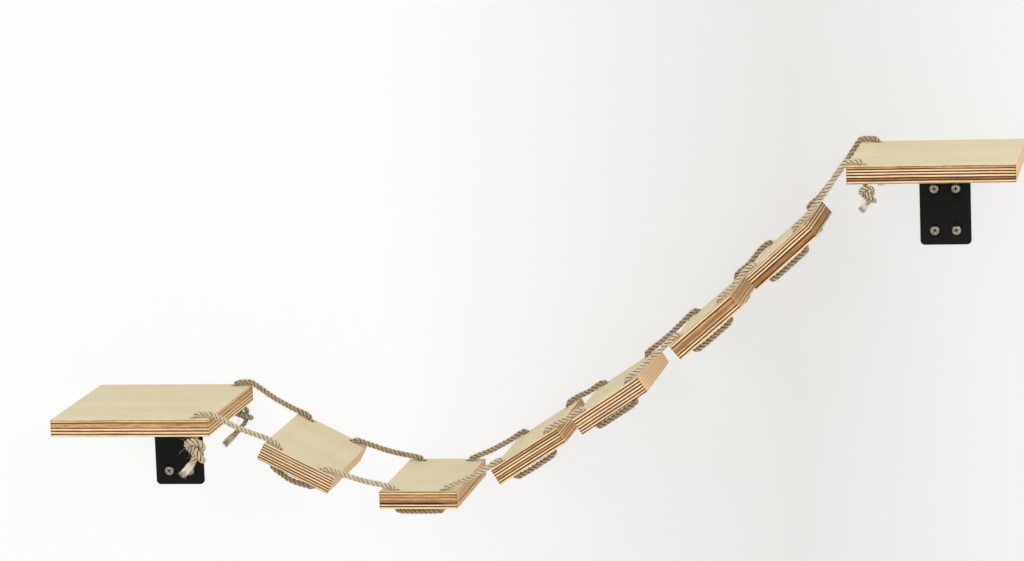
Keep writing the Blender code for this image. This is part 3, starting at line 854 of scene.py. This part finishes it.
def thread_shape(shank, length):
    """The thread: a small three-sided ridge, wound down the shank."""
    pitch = PITCH * shank
    ridge = start_piece("thread", bpy.ops.mesh.primitive_circle_add, vertices=len(THREAD), fill_type="NOTHING")
    for point, (out, up) in zip(ridge.data.vertices, THREAD):
        point.co = (out * shank, 0, up * pitch - THREAD_FROM * length)
    turns = {"iterations": int(THREAD_REACH * length / pitch), "steps": THREAD_STEPS, "render_steps": THREAD_STEPS}
    finish_with(ridge, "SCREW", angle=tau, screw_offset=-pitch, **turns)
    select_where(ridge, "EDGE", lambda edge: False)
    bpy.ops.mesh.select_non_manifold()
    bpy.ops.mesh.edge_face_add()
    bpy.ops.object.mode_set(mode="OBJECT")
    reshape(ridge, "FACE", everything, bpy.ops.mesh.normals_make_consistent, inside=False)
    return ridge


def narrow_to_point(part, length):
    for point in part.data.vertices:
        left = max(LEAST_TIP, min(1.0, (length + point.co.z) / SCREW_TIP))
        point.co.x *= left
        point.co.y *= left


def make_screws(finish):
    shapes = {"wall_screw": screw_shape(WALL_SCREW), "shelf_screw": screw_shape(SHELF_SCREW)}
    chance = np.random.default_rng(SCREW_SEED)
    under = WALL_LEG / 2 - STEEL - GAP
    seats = {
        "wall_screw": [((x, -STEEL - GAP, z), (0, -1, 0)) for x, z in screw_places(WALL_SCREW_STEPS)],
        "shelf_screw": [((x, y, under), (0, 0, -1)) for x, y in screw_places(SHELF_SCREW_STEPS)],
    }
    for name in SHELVES:
        for kind, places in seats.items():
            for number, (seat, head_way) in enumerate(places, 1):
                screw = shapes[kind].copy()
                screw.data = shapes[kind].data.copy()
                screw.name = f"{name}_{kind}_{number}_zinc"
                show(screw)
                turn = Vector(head_way).to_track_quat("Z", "X").to_matrix().to_4x4()
                spin = Matrix.Rotation(chance.uniform(0, pi / 2), 4, "Z")
                screw.matrix_world = Matrix.Translation(bracket_middle(name) + Vector(seat)) @ turn @ spin
                settle(screw)
                finished(screw, "root", [f"{name}_{kind}_{number}"], finish)
    for shape in shapes.values():
        bpy.data.objects.remove(shape)


# The ropes' lines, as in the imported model


def smooth_route(points):
    """A smooth curve through the route's own points, with straight ends."""
    route = np.array(points, float)
    lengths = np.linalg.norm(np.diff(route, axis=0), axis=1)
    slopes = (route[2:] - route[:-2]) / (lengths[1:] + lengths[:-1])[:, None]
    line = [route[0]]
    for a, b, slope_a, slope_b, length in zip(route[1:], route[2:], slopes, slopes[1:], lengths[1:]):
        for t in np.linspace(0, 1, ROUTE_STEPS, endpoint=False):
            bow = slope_a * (1 - t) - slope_b * t
            line.append(a + (b - a) * t**2 * (3 - 2 * t) + bow * length * t * (1 - t))
    return np.array([*line, route[-2], route[-1]])


def spaced(points, count):
    """The same line with count points, evenly apart, and any further columns carried along."""
    steps = np.linalg.norm(np.diff(points[:, :3], axis=0), axis=1)
    along = np.concatenate([[0.0], np.cumsum(steps)])
    at = np.linspace(0.0, along[-1], count)
    return np.stack([np.interp(at, along, column) for column in points.T], axis=1)


def board_end(number, end, side):
    """The frame of a board's top face, its hole's and its end's place along it, and the rope's Y."""
    if number in (0, LAST_BOARD):
        x, top, bridge_end = SHELVES["lower" if number == 0 else "upper"]
        plane = (Vector((x, 0, top)), Vector((1, 0, 0)), Vector((0, 0, 1)))
        return plane, shelf_hole_x(bridge_end), bridge_end * SHELF_WIDTH / 2, SHELF_ROPE_Y[side]
    x, z, slope = PLANKS[number - 1]
    lean = radians(slope)
    along = Vector((cos(lean), 0, sin(lean)))
    normal = Vector((-sin(lean), 0, cos(lean)))
    hole = end * (PLANK_LENGTH / 2 - PLANK_HOLE_FROM_END)
    return (Vector((x, 0, LOWER_TOP + z)), along, normal), hole, end * PLANK_LENGTH / 2, PLANK_ROPE_Y[side]


def on_board(board, along, up):
    """A point over a board's top face, on the rope's line."""
    (middle, way, normal), _, _, y = board
    point = middle + way * along + normal * up
    point.y = y
    return point


def mouth_points(board):
    """The rope's way out of a hole."""
    _, hole, end, _ = board
    out = copysign(1.0, end)
    inside = [on_board(board, hole, up) for up in (-BOARD / 2 + GAP / 2, -BOARD / 4)]
    return inside + [on_board(board, hole + out * along, up) for along, up in MOUTH_BEND]


def end_points(board):
    """The rope's bend over a board's end, from the hole's side outwards."""
    end = board[2]
    out = copysign(1.0, end)
    return [on_board(board, end + out * past, ROPE_LIFT - down) for past, down in END_BEND]


def above(point, start, end):
    """True where a board's end reaches the sagging way from start to end, so the rope bends over it."""
    share = (point.x - start.x) / (end.x - start.x)
    sag = (end - start).length * SPAN_SAG * 4 * share * (1 - share)
    return point.z + 2 * GAP > start.z + share * (end.z - start.z) - sag


def span_points(first, side):
    """The rope from board number first to the next one."""
    a = board_end(first, 1, side)
    b = board_end(first + 1, -1, side)
    leave, arrive = mouth_points(a), mouth_points(b)
    if above(on_board(a, a[2], ROPE_LIFT), leave[-1], arrive[-1]):
        leave += end_points(a)
    if above(on_board(b, b[2], ROPE_LIFT), leave[-1], arrive[-1]):
        arrive += end_points(b)
    drop = (arrive[-1] - leave[-1]).length * SPAN_SAG
    middle = (leave[-1] + arrive[-1]) / 2 - Vector((0, 0, drop))
    return smooth_route([*leave, middle, *reversed(arrive)])


def loop_points(number, side):
    """The rope under a plank, from hole to hole."""
    board = board_end(number, 1, side)
    hole = board[1]
    half = [(hole, -BOARD / 2 - GAP / 2), (hole, -BOARD * HOLE_POINT)]
    half += [(hole - along, -BOARD - down) for along, down in MOUTH_BEND]
    middle = on_board(board, 0, -BOARD - ROPE_LIFT - LOOP_SLACKS[number - 1])
    right = [on_board(board, along, up) for along, up in half]
    left = [on_board(board, -along, up) for along, up in reversed(half)]
    return smooth_route([*right, middle, *left])[::-1]


def tight_knot():
    """The line of an overhand knot with its ends on the X axis, drawn tight from a loose one."""
    t = np.linspace(-LOOSE_END, LOOSE_END, 4 * KNOT_POINTS)
    passed = np.interp(t, LOOSE_CROSSINGS, range(len(LOOSE_CROSSINGS)))
    over_and_under = -LOOSE_LIFT * np.cos(np.pi * passed)
    loose = np.stack([LOOSE_SPREAD * (t**3 - 3 * t), LOOSE_SPREAD * (t**4 - 4 * t**2), over_and_under], 1)
    line = spaced(np.vstack([[-LOOSE_REACH, 0, 0], loose, [LOOSE_REACH, 0, 0]]), KNOT_POINTS)
    index = np.arange(KNOT_POINTS)
    apart = np.abs(index[:, None] - index[None])
    window = np.clip(np.minimum(index, KNOT_POINTS - 1 - index) / (KNOT_POINTS / 4), 0, 1)
    core = slice(KNOT_POINTS // 3, KNOT_POINTS - KNOT_POINTS // 3)
    for step in range(KNOT_STEPS):
        pull = PULL if step < LAST_PULL_FROM * KNOT_STEPS else LAST_PULL
        line[1:-1] += pull * ((line[:-2] + line[2:]) / 2 - line[1:-1])
        for _ in range(PUSHES):
            line += pushed_apart(line, apart)
        line -= window[:, None] * line[core].mean(0) * CENTRING
        line = spaced(line, KNOT_POINTS)
    return line


def pushed_apart(line, apart):
    """How each point moves to keep strands a rope's thickness and a little slack apart."""
    least = ROPE + KNOT_SLACK
    spacing = np.linalg.norm(np.diff(line, axis=0), axis=1).mean()
    between = line[:, None] - line[None]
    distance = np.linalg.norm(between, axis=2)
    close = (apart * spacing > STRAND_REACH * least) & (distance < least)
    push = np.where(close, (least - distance) / 2 / np.maximum(distance, 1e-9), 0.0)
    move = (push[..., None] * between).sum(1) / np.maximum(close.sum(1), 1)[:, None]
    move[[0, -1]] = 0.0
    return move


def knot_points(knot, name, side):
    """A knot under a shelf's hole: from halfway down the hole to the end of its tail, with its thickness."""
    turn, tilt, squeeze, lean, tail = KNOT_HANGS[name, side]
    x, top, end = SHELVES[name]
    half = squeeze * KNOT_HALF
    middle = BOARD + half + squeeze * KNOT_RADIUS * abs(sin(radians(tilt)))
    inside = squeeze * knot[np.abs(knot[:, 0]) < KNOT_HALF + ROPE / 2]
    hole = [BOARD / 2 + GAP / 2, BOARD * HOLE_POINT]
    last = inside[-1, 0] + middle
    depth = np.concatenate([hole, inside[:, 0] + middle, np.linspace(last, last + tail, TAIL_POINTS + 1)[1:]])
    sides = np.vstack([np.zeros((len(hole), 2)), inside[:, 1:], np.zeros((TAIL_POINTS, 2))])
    angle = radians(turn)
    across = sides @ np.array([[cos(angle), sin(angle)], [-sin(angle), cos(angle)]])
    hang = tail * np.clip((depth - middle - half * TAIL_FROM) / tail, 0, None) ** TAIL_CURL
    along = across[:, 0] + lean[0] * hang
    out = across[:, 1] + lean[1] * hang
    angle = radians(tilt) * np.clip((depth - BOARD) / ROPE + 0.5, 0, 1)
    below = depth - BOARD
    tilted_along = along * np.cos(angle) + below * np.sin(angle)
    tilted_below = below * np.cos(angle) - along * np.sin(angle)
    hole_x, hole_y = x + shelf_hole_x(end), SHELF_ROPE_Y[side]
    in_knot = np.clip((half + ROPE / 2 - np.abs(depth - middle)) / (ROPE / 2), 0, 1)
    thickness = 1 - (1 - squeeze) * in_knot
    return np.stack([hole_x + tilted_along, hole_y + out, top - BOARD - tilted_below, thickness], axis=1)


# The ropes themselves


def unit(vectors):
    return vectors / np.linalg.norm(vectors, axis=-1)[..., None]


def whole_rope(side, knot):
    """One rope from tail to tail, evenly spaced, and the places along it where the model splits it."""
    stretches = [knot_points(knot, "lower", side)[::-1]]
    for first in range(LAST_BOARD):
        stretches.append(span_points(first, side))
        if first + 1 < LAST_BOARD:
            stretches.append(loop_points(first + 1, side))
    stretches.append(knot_points(knot, "upper", side))
    columns = [np.column_stack([s, np.ones(len(s))]) if s.shape[1] == 3 else s for s in stretches]
    joined = np.vstack(columns)
    length = np.linalg.norm(np.diff(joined[:, :3], axis=0), axis=1).sum()
    line = spaced(joined, int(length / RING_STEP))
    for _ in range(SMOOTHINGS):
        line[1:-1, :3] += 0.5 * ((line[:-2, :3] + line[2:, :3]) / 2 - line[1:-1, :3])
    line = spaced(line, len(line))
    marks = [0]
    for stretch in columns[:-1]:
        start = marks[-1] + LEAST_ROWS
        marks.append(start + first_dip(np.linalg.norm(line[start:, :3] - stretch[-1, :3], axis=1)))
    return line, [*marks, len(line) - 1]


def first_dip(distance):
    """The first place where the line passes closer than a ring's step."""
    start = np.flatnonzero(distance < 2 * RING_STEP)[0]
    return start + int(np.argmin(distance[start : start + LEAST_ROWS + 1]))


def frames_along(points):
    """The way along a line, and two sides that turn as little as they can."""
    way = unit(np.gradient(points, axis=0))
    side = np.empty_like(way)
    last = np.array([0.0, 1.0, 0.0])
    for number, ahead in enumerate(way):
        last = unit(last - ahead * (last @ ahead))
        side[number] = last
    return way, side, np.cross(way, side)


class Rope:
    """One rope's line with what its three strands need along it."""

    def __init__(self, side, knot):
        line, self.marks = whole_rope(side, knot)
        self.side = side
        self.points = line[:, :3]
        self.count = len(line)
        steps = np.linalg.norm(np.diff(self.points, axis=0), axis=1)
        self.along = np.concatenate([[0.0], np.cumsum(steps)])
        self.thickness = line[:, 3].copy()
        self.frames = frames_along(self.points)
        self.wander = self.slow_noise(np.random.default_rng(ROPE_SEEDS[side]))
        low, high = UNLAID[side]
        left = np.maximum(1 - self.along / low, 1 - (self.along[-1] - self.along) / high)
        left = np.clip(UNLAID_RISE * left, 0, 1)
        self.unlaid = left**2 * (3 - 2 * left)
        twist = (1 - self.unlaid) / STRAND_LAY
        self.turns = np.concatenate([[0.0], np.cumsum((twist[1:] + twist[:-1]) / 2 * steps)])

    def slow_noise(self, chance):
        """How each strand's turn and radius wander along the rope."""
        knots = np.linspace(0, self.along[-1], int(self.along[-1] / WANDER_STEP))
        values = chance.normal(0, WANDER, (2 * STRANDS, len(knots)))
        return [np.interp(self.along, knots, row) for row in values]


def across_room(way):
    """The direction along the wall, square to the rope, and the one out from it."""
    along_wall = unit(np.array([1.0, 0.0, 0.0]) - way * way[:, :1])
    return along_wall, np.cross(way, along_wall)


def turned(turn, side, other):
    """The ways out from a line at those angles round it."""
    return np.cos(turn)[:, None] * side + np.sin(turn)[:, None] * other


def strand_rings(rope, rows, scale, strand):
    """The rings of one strand over those rows. In a tail the strands leave their twist and lie flat."""
    way, side, other = (axis[rows] for axis in rope.frames)
    loose = rope.unlaid[rows][:, None]
    turn = tau * (rope.turns[rows] + strand / STRANDS) + TURN_WANDER * rope.wander[strand][rows]
    out = turned(turn, side, other)
    size = (rope.thickness[rows] * scale)[:, None]
    flat, deep = across_room(way)
    spread = UNLAID_SPREAD * (strand - 1) * flat + UNLAID_STEP * (strand % 2) * deep
    centre = rope.points[rows] + size * ((1 - loose) * STRAND_OUT * out + loose * spread)
    ahead = unit(np.gradient(centre, axis=0))
    out = unit(out - ahead * (out * ahead).sum(1)[:, None])
    across = np.cross(ahead, out)
    radius = STRAND * size * (1 + rope.wander[STRANDS + strand][rows])[:, None] * (1 + UNLAID_SWELL * loose)
    angle = pi + tau * np.arange(STRAND_SIDES) / STRAND_SIDES
    ring = np.cos(angle)[None, :, None] * out[:, None] + np.sin(angle)[None, :, None] * across[:, None]
    ring -= (UNLAID_FLAT * loose * (ring * deep[:, None]).sum(2))[:, :, None] * deep[:, None]
    return centre[:, None] + radius[:, None] * ring


class Tubes:
    """A mesh of tubes that are closed at both ends."""

    def __init__(self):
        self.count = 0
        self.places, self.quads, self.uvs, self.caps, self.cap_uvs = [], [], [], [], []

    def add(self, rings, along):
        """A tube through rings, and how far along the rope each is."""
        rows, sides = rings.shape[:2]
        index = self.count + np.arange(rows * sides).reshape(rows, sides)
        after = np.roll(index, -1, axis=1)
        quads = np.stack([index[:-1], after[:-1], after[1:], index[1:]], axis=-1)
        spots = np.stack(np.meshgrid(np.arange(sides + 1) / sides, along), axis=-1)
        uvs = np.stack([spots[:-1, :-1], spots[:-1, 1:], spots[1:, 1:], spots[1:, :-1]], axis=2)
        self.places.append(rings.reshape(-1, 3))
        self.quads += quads.reshape(-1, 4).tolist()
        self.uvs.append(uvs.reshape(-1, 2))
        self.caps += [index[0][::-1].tolist(), index[-1].tolist()]
        self.cap_uvs += [spots[0, -2::-1], spots[-1, :-1]]
        self.count += rows * sides

    def piece(self, name, laid):
        """The tubes as one piece. Its first points are as laid as laid says, and the rest, the hairs', aren't."""
        faces = self.quads + self.caps
        data = bpy.data.meshes.new(name)
        data.from_pydata(np.vstack(self.places).tolist(), [], faces)
        data.uv_layers.new(name="rope").data.foreach_set("uv", np.vstack(self.uvs + self.cap_uvs).ravel())
        laid = np.concatenate([laid, np.zeros(self.count - len(laid))])
        data.attributes.new("laid", "FLOAT", "POINT").data.foreach_set("value", laid)
        data.polygons.foreach_set("use_smooth", [True] * len(faces))
        data.update()
        piece = bpy.data.objects.new(name, data)
        show(piece)
        return piece


def hair_rings(start, heading, curl, length, radius):
    """Thin three-sided hairs: each from its start, along its heading, and more and more towards its curl."""
    share = np.linspace(0, 1, len(HAIR_TAPER))[None, :, None]
    spine = start[:, None] + length[:, None, None] * (share * heading[:, None] + share**2 * curl[:, None])
    one = unit(np.cross(heading, np.array(NO_HAIRS_WAY)))
    two = np.cross(heading, one)
    taper = radius[:, None] * np.array(HAIR_TAPER)
    angle = tau * np.arange(HAIR_SIDES) / HAIR_SIDES
    ring = np.cos(angle)[:, None] * one[:, None, None] + np.sin(angle)[:, None] * two[:, None, None]
    return spine[:, :, None] + taper[:, :, None, None] * ring


def places_on(rope, rows, count, chance):
    """Rows picked at random, and there the way along the rope, one out from it, and the one round it."""
    at = chance.choice(rows, count)
    way, side, other = (axis[at] for axis in rope.frames)
    out = turned(chance.uniform(0, tau, count), side, other)
    return at, way, out, np.cross(way, out)


def loose_fibres(rope, rows, count, chance):
    """Short hairs that leave the strands all over the rope."""
    at, way, out, around = places_on(rope, rows, count, chance)
    start = rope.points[at] + (FIBRE_SEAT * ROPE / 2 * rope.thickness[at])[:, None] * out
    lean = chance.normal(0, FIBRE_LEAN, (count, 2))
    heading = unit(FIBRE_OUT * out + lean[:, :1] * way + lean[:, 1:] * FIBRE_ROUND * around)
    bow, swerve = (chance.normal(0, FIBRE_CURL_SPREAD, (count, 1)) for _ in range(2))
    curl = FIBRE_CURL * (bow * way + swerve * around)
    length = chance.gamma(*FIBRE_SPREAD, count).clip(*FIBRE_LENGTHS)
    return at, start, heading, curl, length, chance.uniform(*FIBRE_RADII, count)


def brush(rope, tip, chance):
    """The cut end of a tail: a dense brush of fibres that runs on from the unlaid strands."""
    inwards = 1 if tip == 0 else -1
    at = tip + inwards * chance.integers(1, int(BRUSH_DEPTH / RING_STEP), BRUSH_FIBRES)
    way = -inwards * rope.frames[0][at]
    flat, deep = across_room(way)
    across = chance.uniform(-BRUSH_WIDTH, BRUSH_WIDTH, (BRUSH_FIBRES, 1)) * UNLAID_SPREAD
    start = rope.points[at] + across * flat + chance.normal(0, BRUSH_SCATTER, (BRUSH_FIBRES, 1)) * deep
    sway = chance.normal(0, BRUSH_SWAY, (BRUSH_FIBRES, 2))
    heading = unit(way + sway[:, :1] * flat + sway[:, 1:] * deep)
    curl = chance.normal(0, BRUSH_CURL, (BRUSH_FIBRES, 1)) * flat
    length = chance.uniform(*BRUSH_LENGTHS, BRUSH_FIBRES)
    return at, start, heading, curl, length, chance.uniform(*BRUSH_RADII, BRUSH_FIBRES)


def wisps(rope, rows, count, chance):
    """A few long hairs that stand away from a knot."""
    at, _, out, _ = places_on(rope, rows, count, chance)
    start = rope.points[at] + WISP_SEAT * ROPE / 2 * out
    heading = unit(out + chance.normal(0, WISP_LEAN, (count, 3)) - np.array(WISP_DRIFT))
    curl = chance.normal(0, WISP_CURL, (count, 3)) - np.array(WISP_DROP)
    length = chance.uniform(*WISP_LENGTHS, count)
    return at, start, heading, curl, length, chance.uniform(*WISP_RADII, count)


def rope_piece(rope, name, first, last, tuck=(False, False)):
    """The rope's three strands and loose fibres from one row to another. A tucked end runs on, a little thinner,
    inside the next piece."""
    extra = int(TUCK / RING_STEP)
    low = max(first - extra * tuck[0], 0)
    high = min(last + extra * tuck[1], rope.count - 1)
    rows = np.arange(low, high + 1)
    beyond = np.maximum(first - rows, rows - last).clip(0, extra) / extra
    scale = 1 - (1 - TUCK_THICKNESS) * np.minimum(1, beyond * 3)
    tubes = Tubes()
    for strand in range(STRANDS):
        tubes.add(strand_rings(rope, rows, scale, strand), rope.along[rows] + STRAND_SHIFT * strand)
    chance = np.random.default_rng(number_of(name))
    core = np.arange(first, last + 1)
    count = int((rope.along[last] - rope.along[first]) * FIBRES_PER_METRE)
    hairs = [loose_fibres(rope, core, count, chance)]
    if first == 0 or last == rope.count - 1:
        twisted = core[rope.unlaid[core] < NEARLY_LAID]
        hairs.append(brush(rope, first if first == 0 else last, chance))
        hairs.append(wisps(rope, twisted, WISPS.get(name, FEWER_WISPS), chance))
    for at, *shape in hairs:
        for rings, place in zip(hair_rings(*shape), rope.along[at]):
            tubes.add(rings, place + np.linspace(0, HAIR_MAP, len(HAIR_TAPER)))
    return tubes.piece(name, np.tile(np.repeat(1 - rope.unlaid[rows], STRAND_SIDES), STRANDS))


def number_of(name):
    """A number for each piece's name, so that its loose fibres come out the same each time."""
    return sum((number + 1) * ord(letter) for number, letter in enumerate(name))


def place_of(rope, first, last, target):
    """The row between two rows that is nearest to a point."""
    near = np.linalg.norm(rope.points[first : last + 1] - np.array(target), axis=1)
    return first + int(np.argmin(near))


def blended(rope, node, part, rows, finish, tuck=(False, False)):
    """A part of a rope node, between its own end rows or those of ends, put on no body."""
    piece = rope_piece(rope, f"{node}_jute_{part}", *rows, tuck)
    finished(piece, None, [node], finish)
    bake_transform(piece)


def make_span(rope, first, start, stop, finish):
    """A stretch between two boards, in pieces: from a plank to just past its end and on to the middle, from a shelf
    straight to the middle. No joint joins the back rope to the slings, so its middle is a piece of its own, with
    tucked ends."""
    body = rope.side + "_rope"
    apart = rope.side == "back"
    node = f"{body}_span_{first + 1}"
    a, b = board_end(first, 1, rope.side), board_end(first + 1, -1, rope.side)
    edge_a, edge_b = (place_of(rope, start, stop, on_board(end, end[2], ROPE_LIFT)) for end in (a, b))
    edge_a += ROWS_PAST_EDGE[rope.side]
    edge_b -= ROWS_PAST_EDGE[rope.side]
    middle = (edge_a + edge_b) // 2
    from_shelf, to_shelf = first == 0, first + 1 == LAST_BOARD
    if from_shelf:
        blended(rope, node, "a", (start, middle), finish)
    else:
        blended(rope, node, "a", (start, edge_a), finish, (False, apart))
    if not (from_shelf or apart):
        blended(rope, node, "b", (edge_a, middle), finish)
    if not (to_shelf or apart):
        blended(rope, node, "c", (middle, edge_b), finish)
    if to_shelf:
        blended(rope, node, "d", (middle, stop), finish)
    else:
        blended(rope, node, "d", (edge_b, stop), finish, (apart, False))
    if apart:
        rows = (middle if from_shelf else edge_a, middle if to_shelf else edge_b)
        piece = rope_piece(rope, node + "_jute_m", *rows, (not from_shelf, not to_shelf))
        finished(piece, body, [node], finish)


def make_rope(rope, open_finish, knot_finish, shaded_finish):
    """One rope: its two knots, its spans in the open finish, and its loops under the planks in the shaded one."""

    def plain(node, rows, body, finish):
        finished(rope_piece(rope, node + "_jute", *rows), body, [node], finish)

    marks = rope.marks
    plain(f"lower_{rope.side}_knot", marks[:2], "root", knot_finish)
    for first in range(LAST_BOARD):
        start, stop = marks[1 + 2 * first], marks[2 + 2 * first]
        make_span(rope, first, start, stop, open_finish)
        if first + 1 < LAST_BOARD:
            rows = (stop, marks[3 + 2 * first])
            plain(f"{rope.side}_rope_loop_{first + 1}", rows, f"plank_{first + 1}", shaded_finish)
    plain(f"upper_{rope.side}_knot", marks[-2:], "root", knot_finish)


# Room, light and camera


def stage_finish(name, colour):
    """A pale matt surface that shows only from its front, so that the bridge can be seen through its back. To the
    camera it glows a little, white on the left and greyer to the right, so that its shadows stay faint."""
    paint = Finish(name, Roughness=0.95, Specular_IOR_Level=0.1)
    here = paint.object_place()
    mottle = paint.noise(here, MOTTLE)
    paint.set("Base Color", paint.ramp(mottle, ((0.3, tuple(MOTTLE_TONE * c for c in colour)), (0.7, colour))))
    glowing = paint.add("Emission", {"Color": paint.ramp(paint.split(here)[0], GLOW)})
    seen = paint.times(paint.seen(), GLOW_SHARE)
    lit = paint.add("MixShader", {0: seen, 1: paint.shader.outputs[0], 2: glowing.outputs[0]})
    behind = paint.add("NewGeometry").outputs["Backfacing"]
    clear = paint.add("BsdfTransparent")
    mixed = paint.add("MixShader", {0: behind, 1: lit.outputs[0], 2: clear.outputs[0]})
    paint.put(paint.tree.nodes["Material Output"].inputs["Surface"], mixed.outputs[0])
    return paint.material


def make_stage():
    for name, (place, scale, turn, colour) in PLANES.items():
        plane = start_piece(name, bpy.ops.mesh.primitive_plane_add, scale, size=1.0, rotation=turn)
        plane.location = place
        settle(plane)
        plane.data.materials.append(stage_finish(plane.name + "_paint", colour))


def make_light():
    world = bpy.data.worlds.new("soft_room")
    bpy.context.scene.world = world
    world.use_nodes = True
    room = Nodes(world.node_tree)
    background = room.tree.nodes["Background"].inputs
    room.put(background["Strength"], room.range(room.seen(), 0.0, 1.0, ROOM_LIGHT, 1.0))
    room.put(background["Color"], (1.0, 1.0, 1.0))
    for name, (place, target, size, power, colour) in LAMPS.items():
        light = bpy.data.lights.new(name, "AREA")
        light.shape = "DISK"
        light.size = size
        light.energy = power
        light.color = colour
        lamp = bpy.data.objects.new(name, light)
        show(lamp)
        lamp.location = place
        lamp.rotation_euler = (Vector(target) - Vector(place)).to_track_quat("-Z", "Y").to_euler()


def make_camera():
    """The picture's own view: a fitted place, turn, tilt and roll."""
    turn, tilt, roll = (radians(angle) for angle in CAMERA_TURN)
    lens = bpy.data.cameras.new("picture_camera")
    lens.sensor_width = SENSOR
    lens.lens = CAMERA_FOCAL * SENSOR
    camera = bpy.data.objects.new("picture_camera", lens)
    show(camera)
    aim = Matrix.Rotation(-turn, 4, "Z") @ Matrix.Rotation(pi / 2 - tilt, 4, "X") @ Matrix.Rotation(-roll, 4, "Z")
    camera.matrix_world = Matrix.Translation(CAMERA_PLACE) @ aim
    bpy.context.scene.camera = camera


def build():
    bpy.context.scene.view_settings.view_transform = "Standard"
    make_camera()
    make_light()
    make_stage()
    make_boards()
    make_brackets(powder_coat())
    make_screws(zinc_plate())
    # Painted shade on the ropes: none on the front spans, a little on the front knots, more on the back rope and
    # most on the loops under the planks
    in_light, knotted, in_shade, shade_dulled = (jute("twisted_jute_" + name, *look) for name, look in JUTES.items())
    knot = tight_knot()
    make_rope(Rope("front", knot), in_light, knotted, shade_dulled)
    make_rope(Rope("back", knot), in_shade, in_shade, shade_dulled)


build()
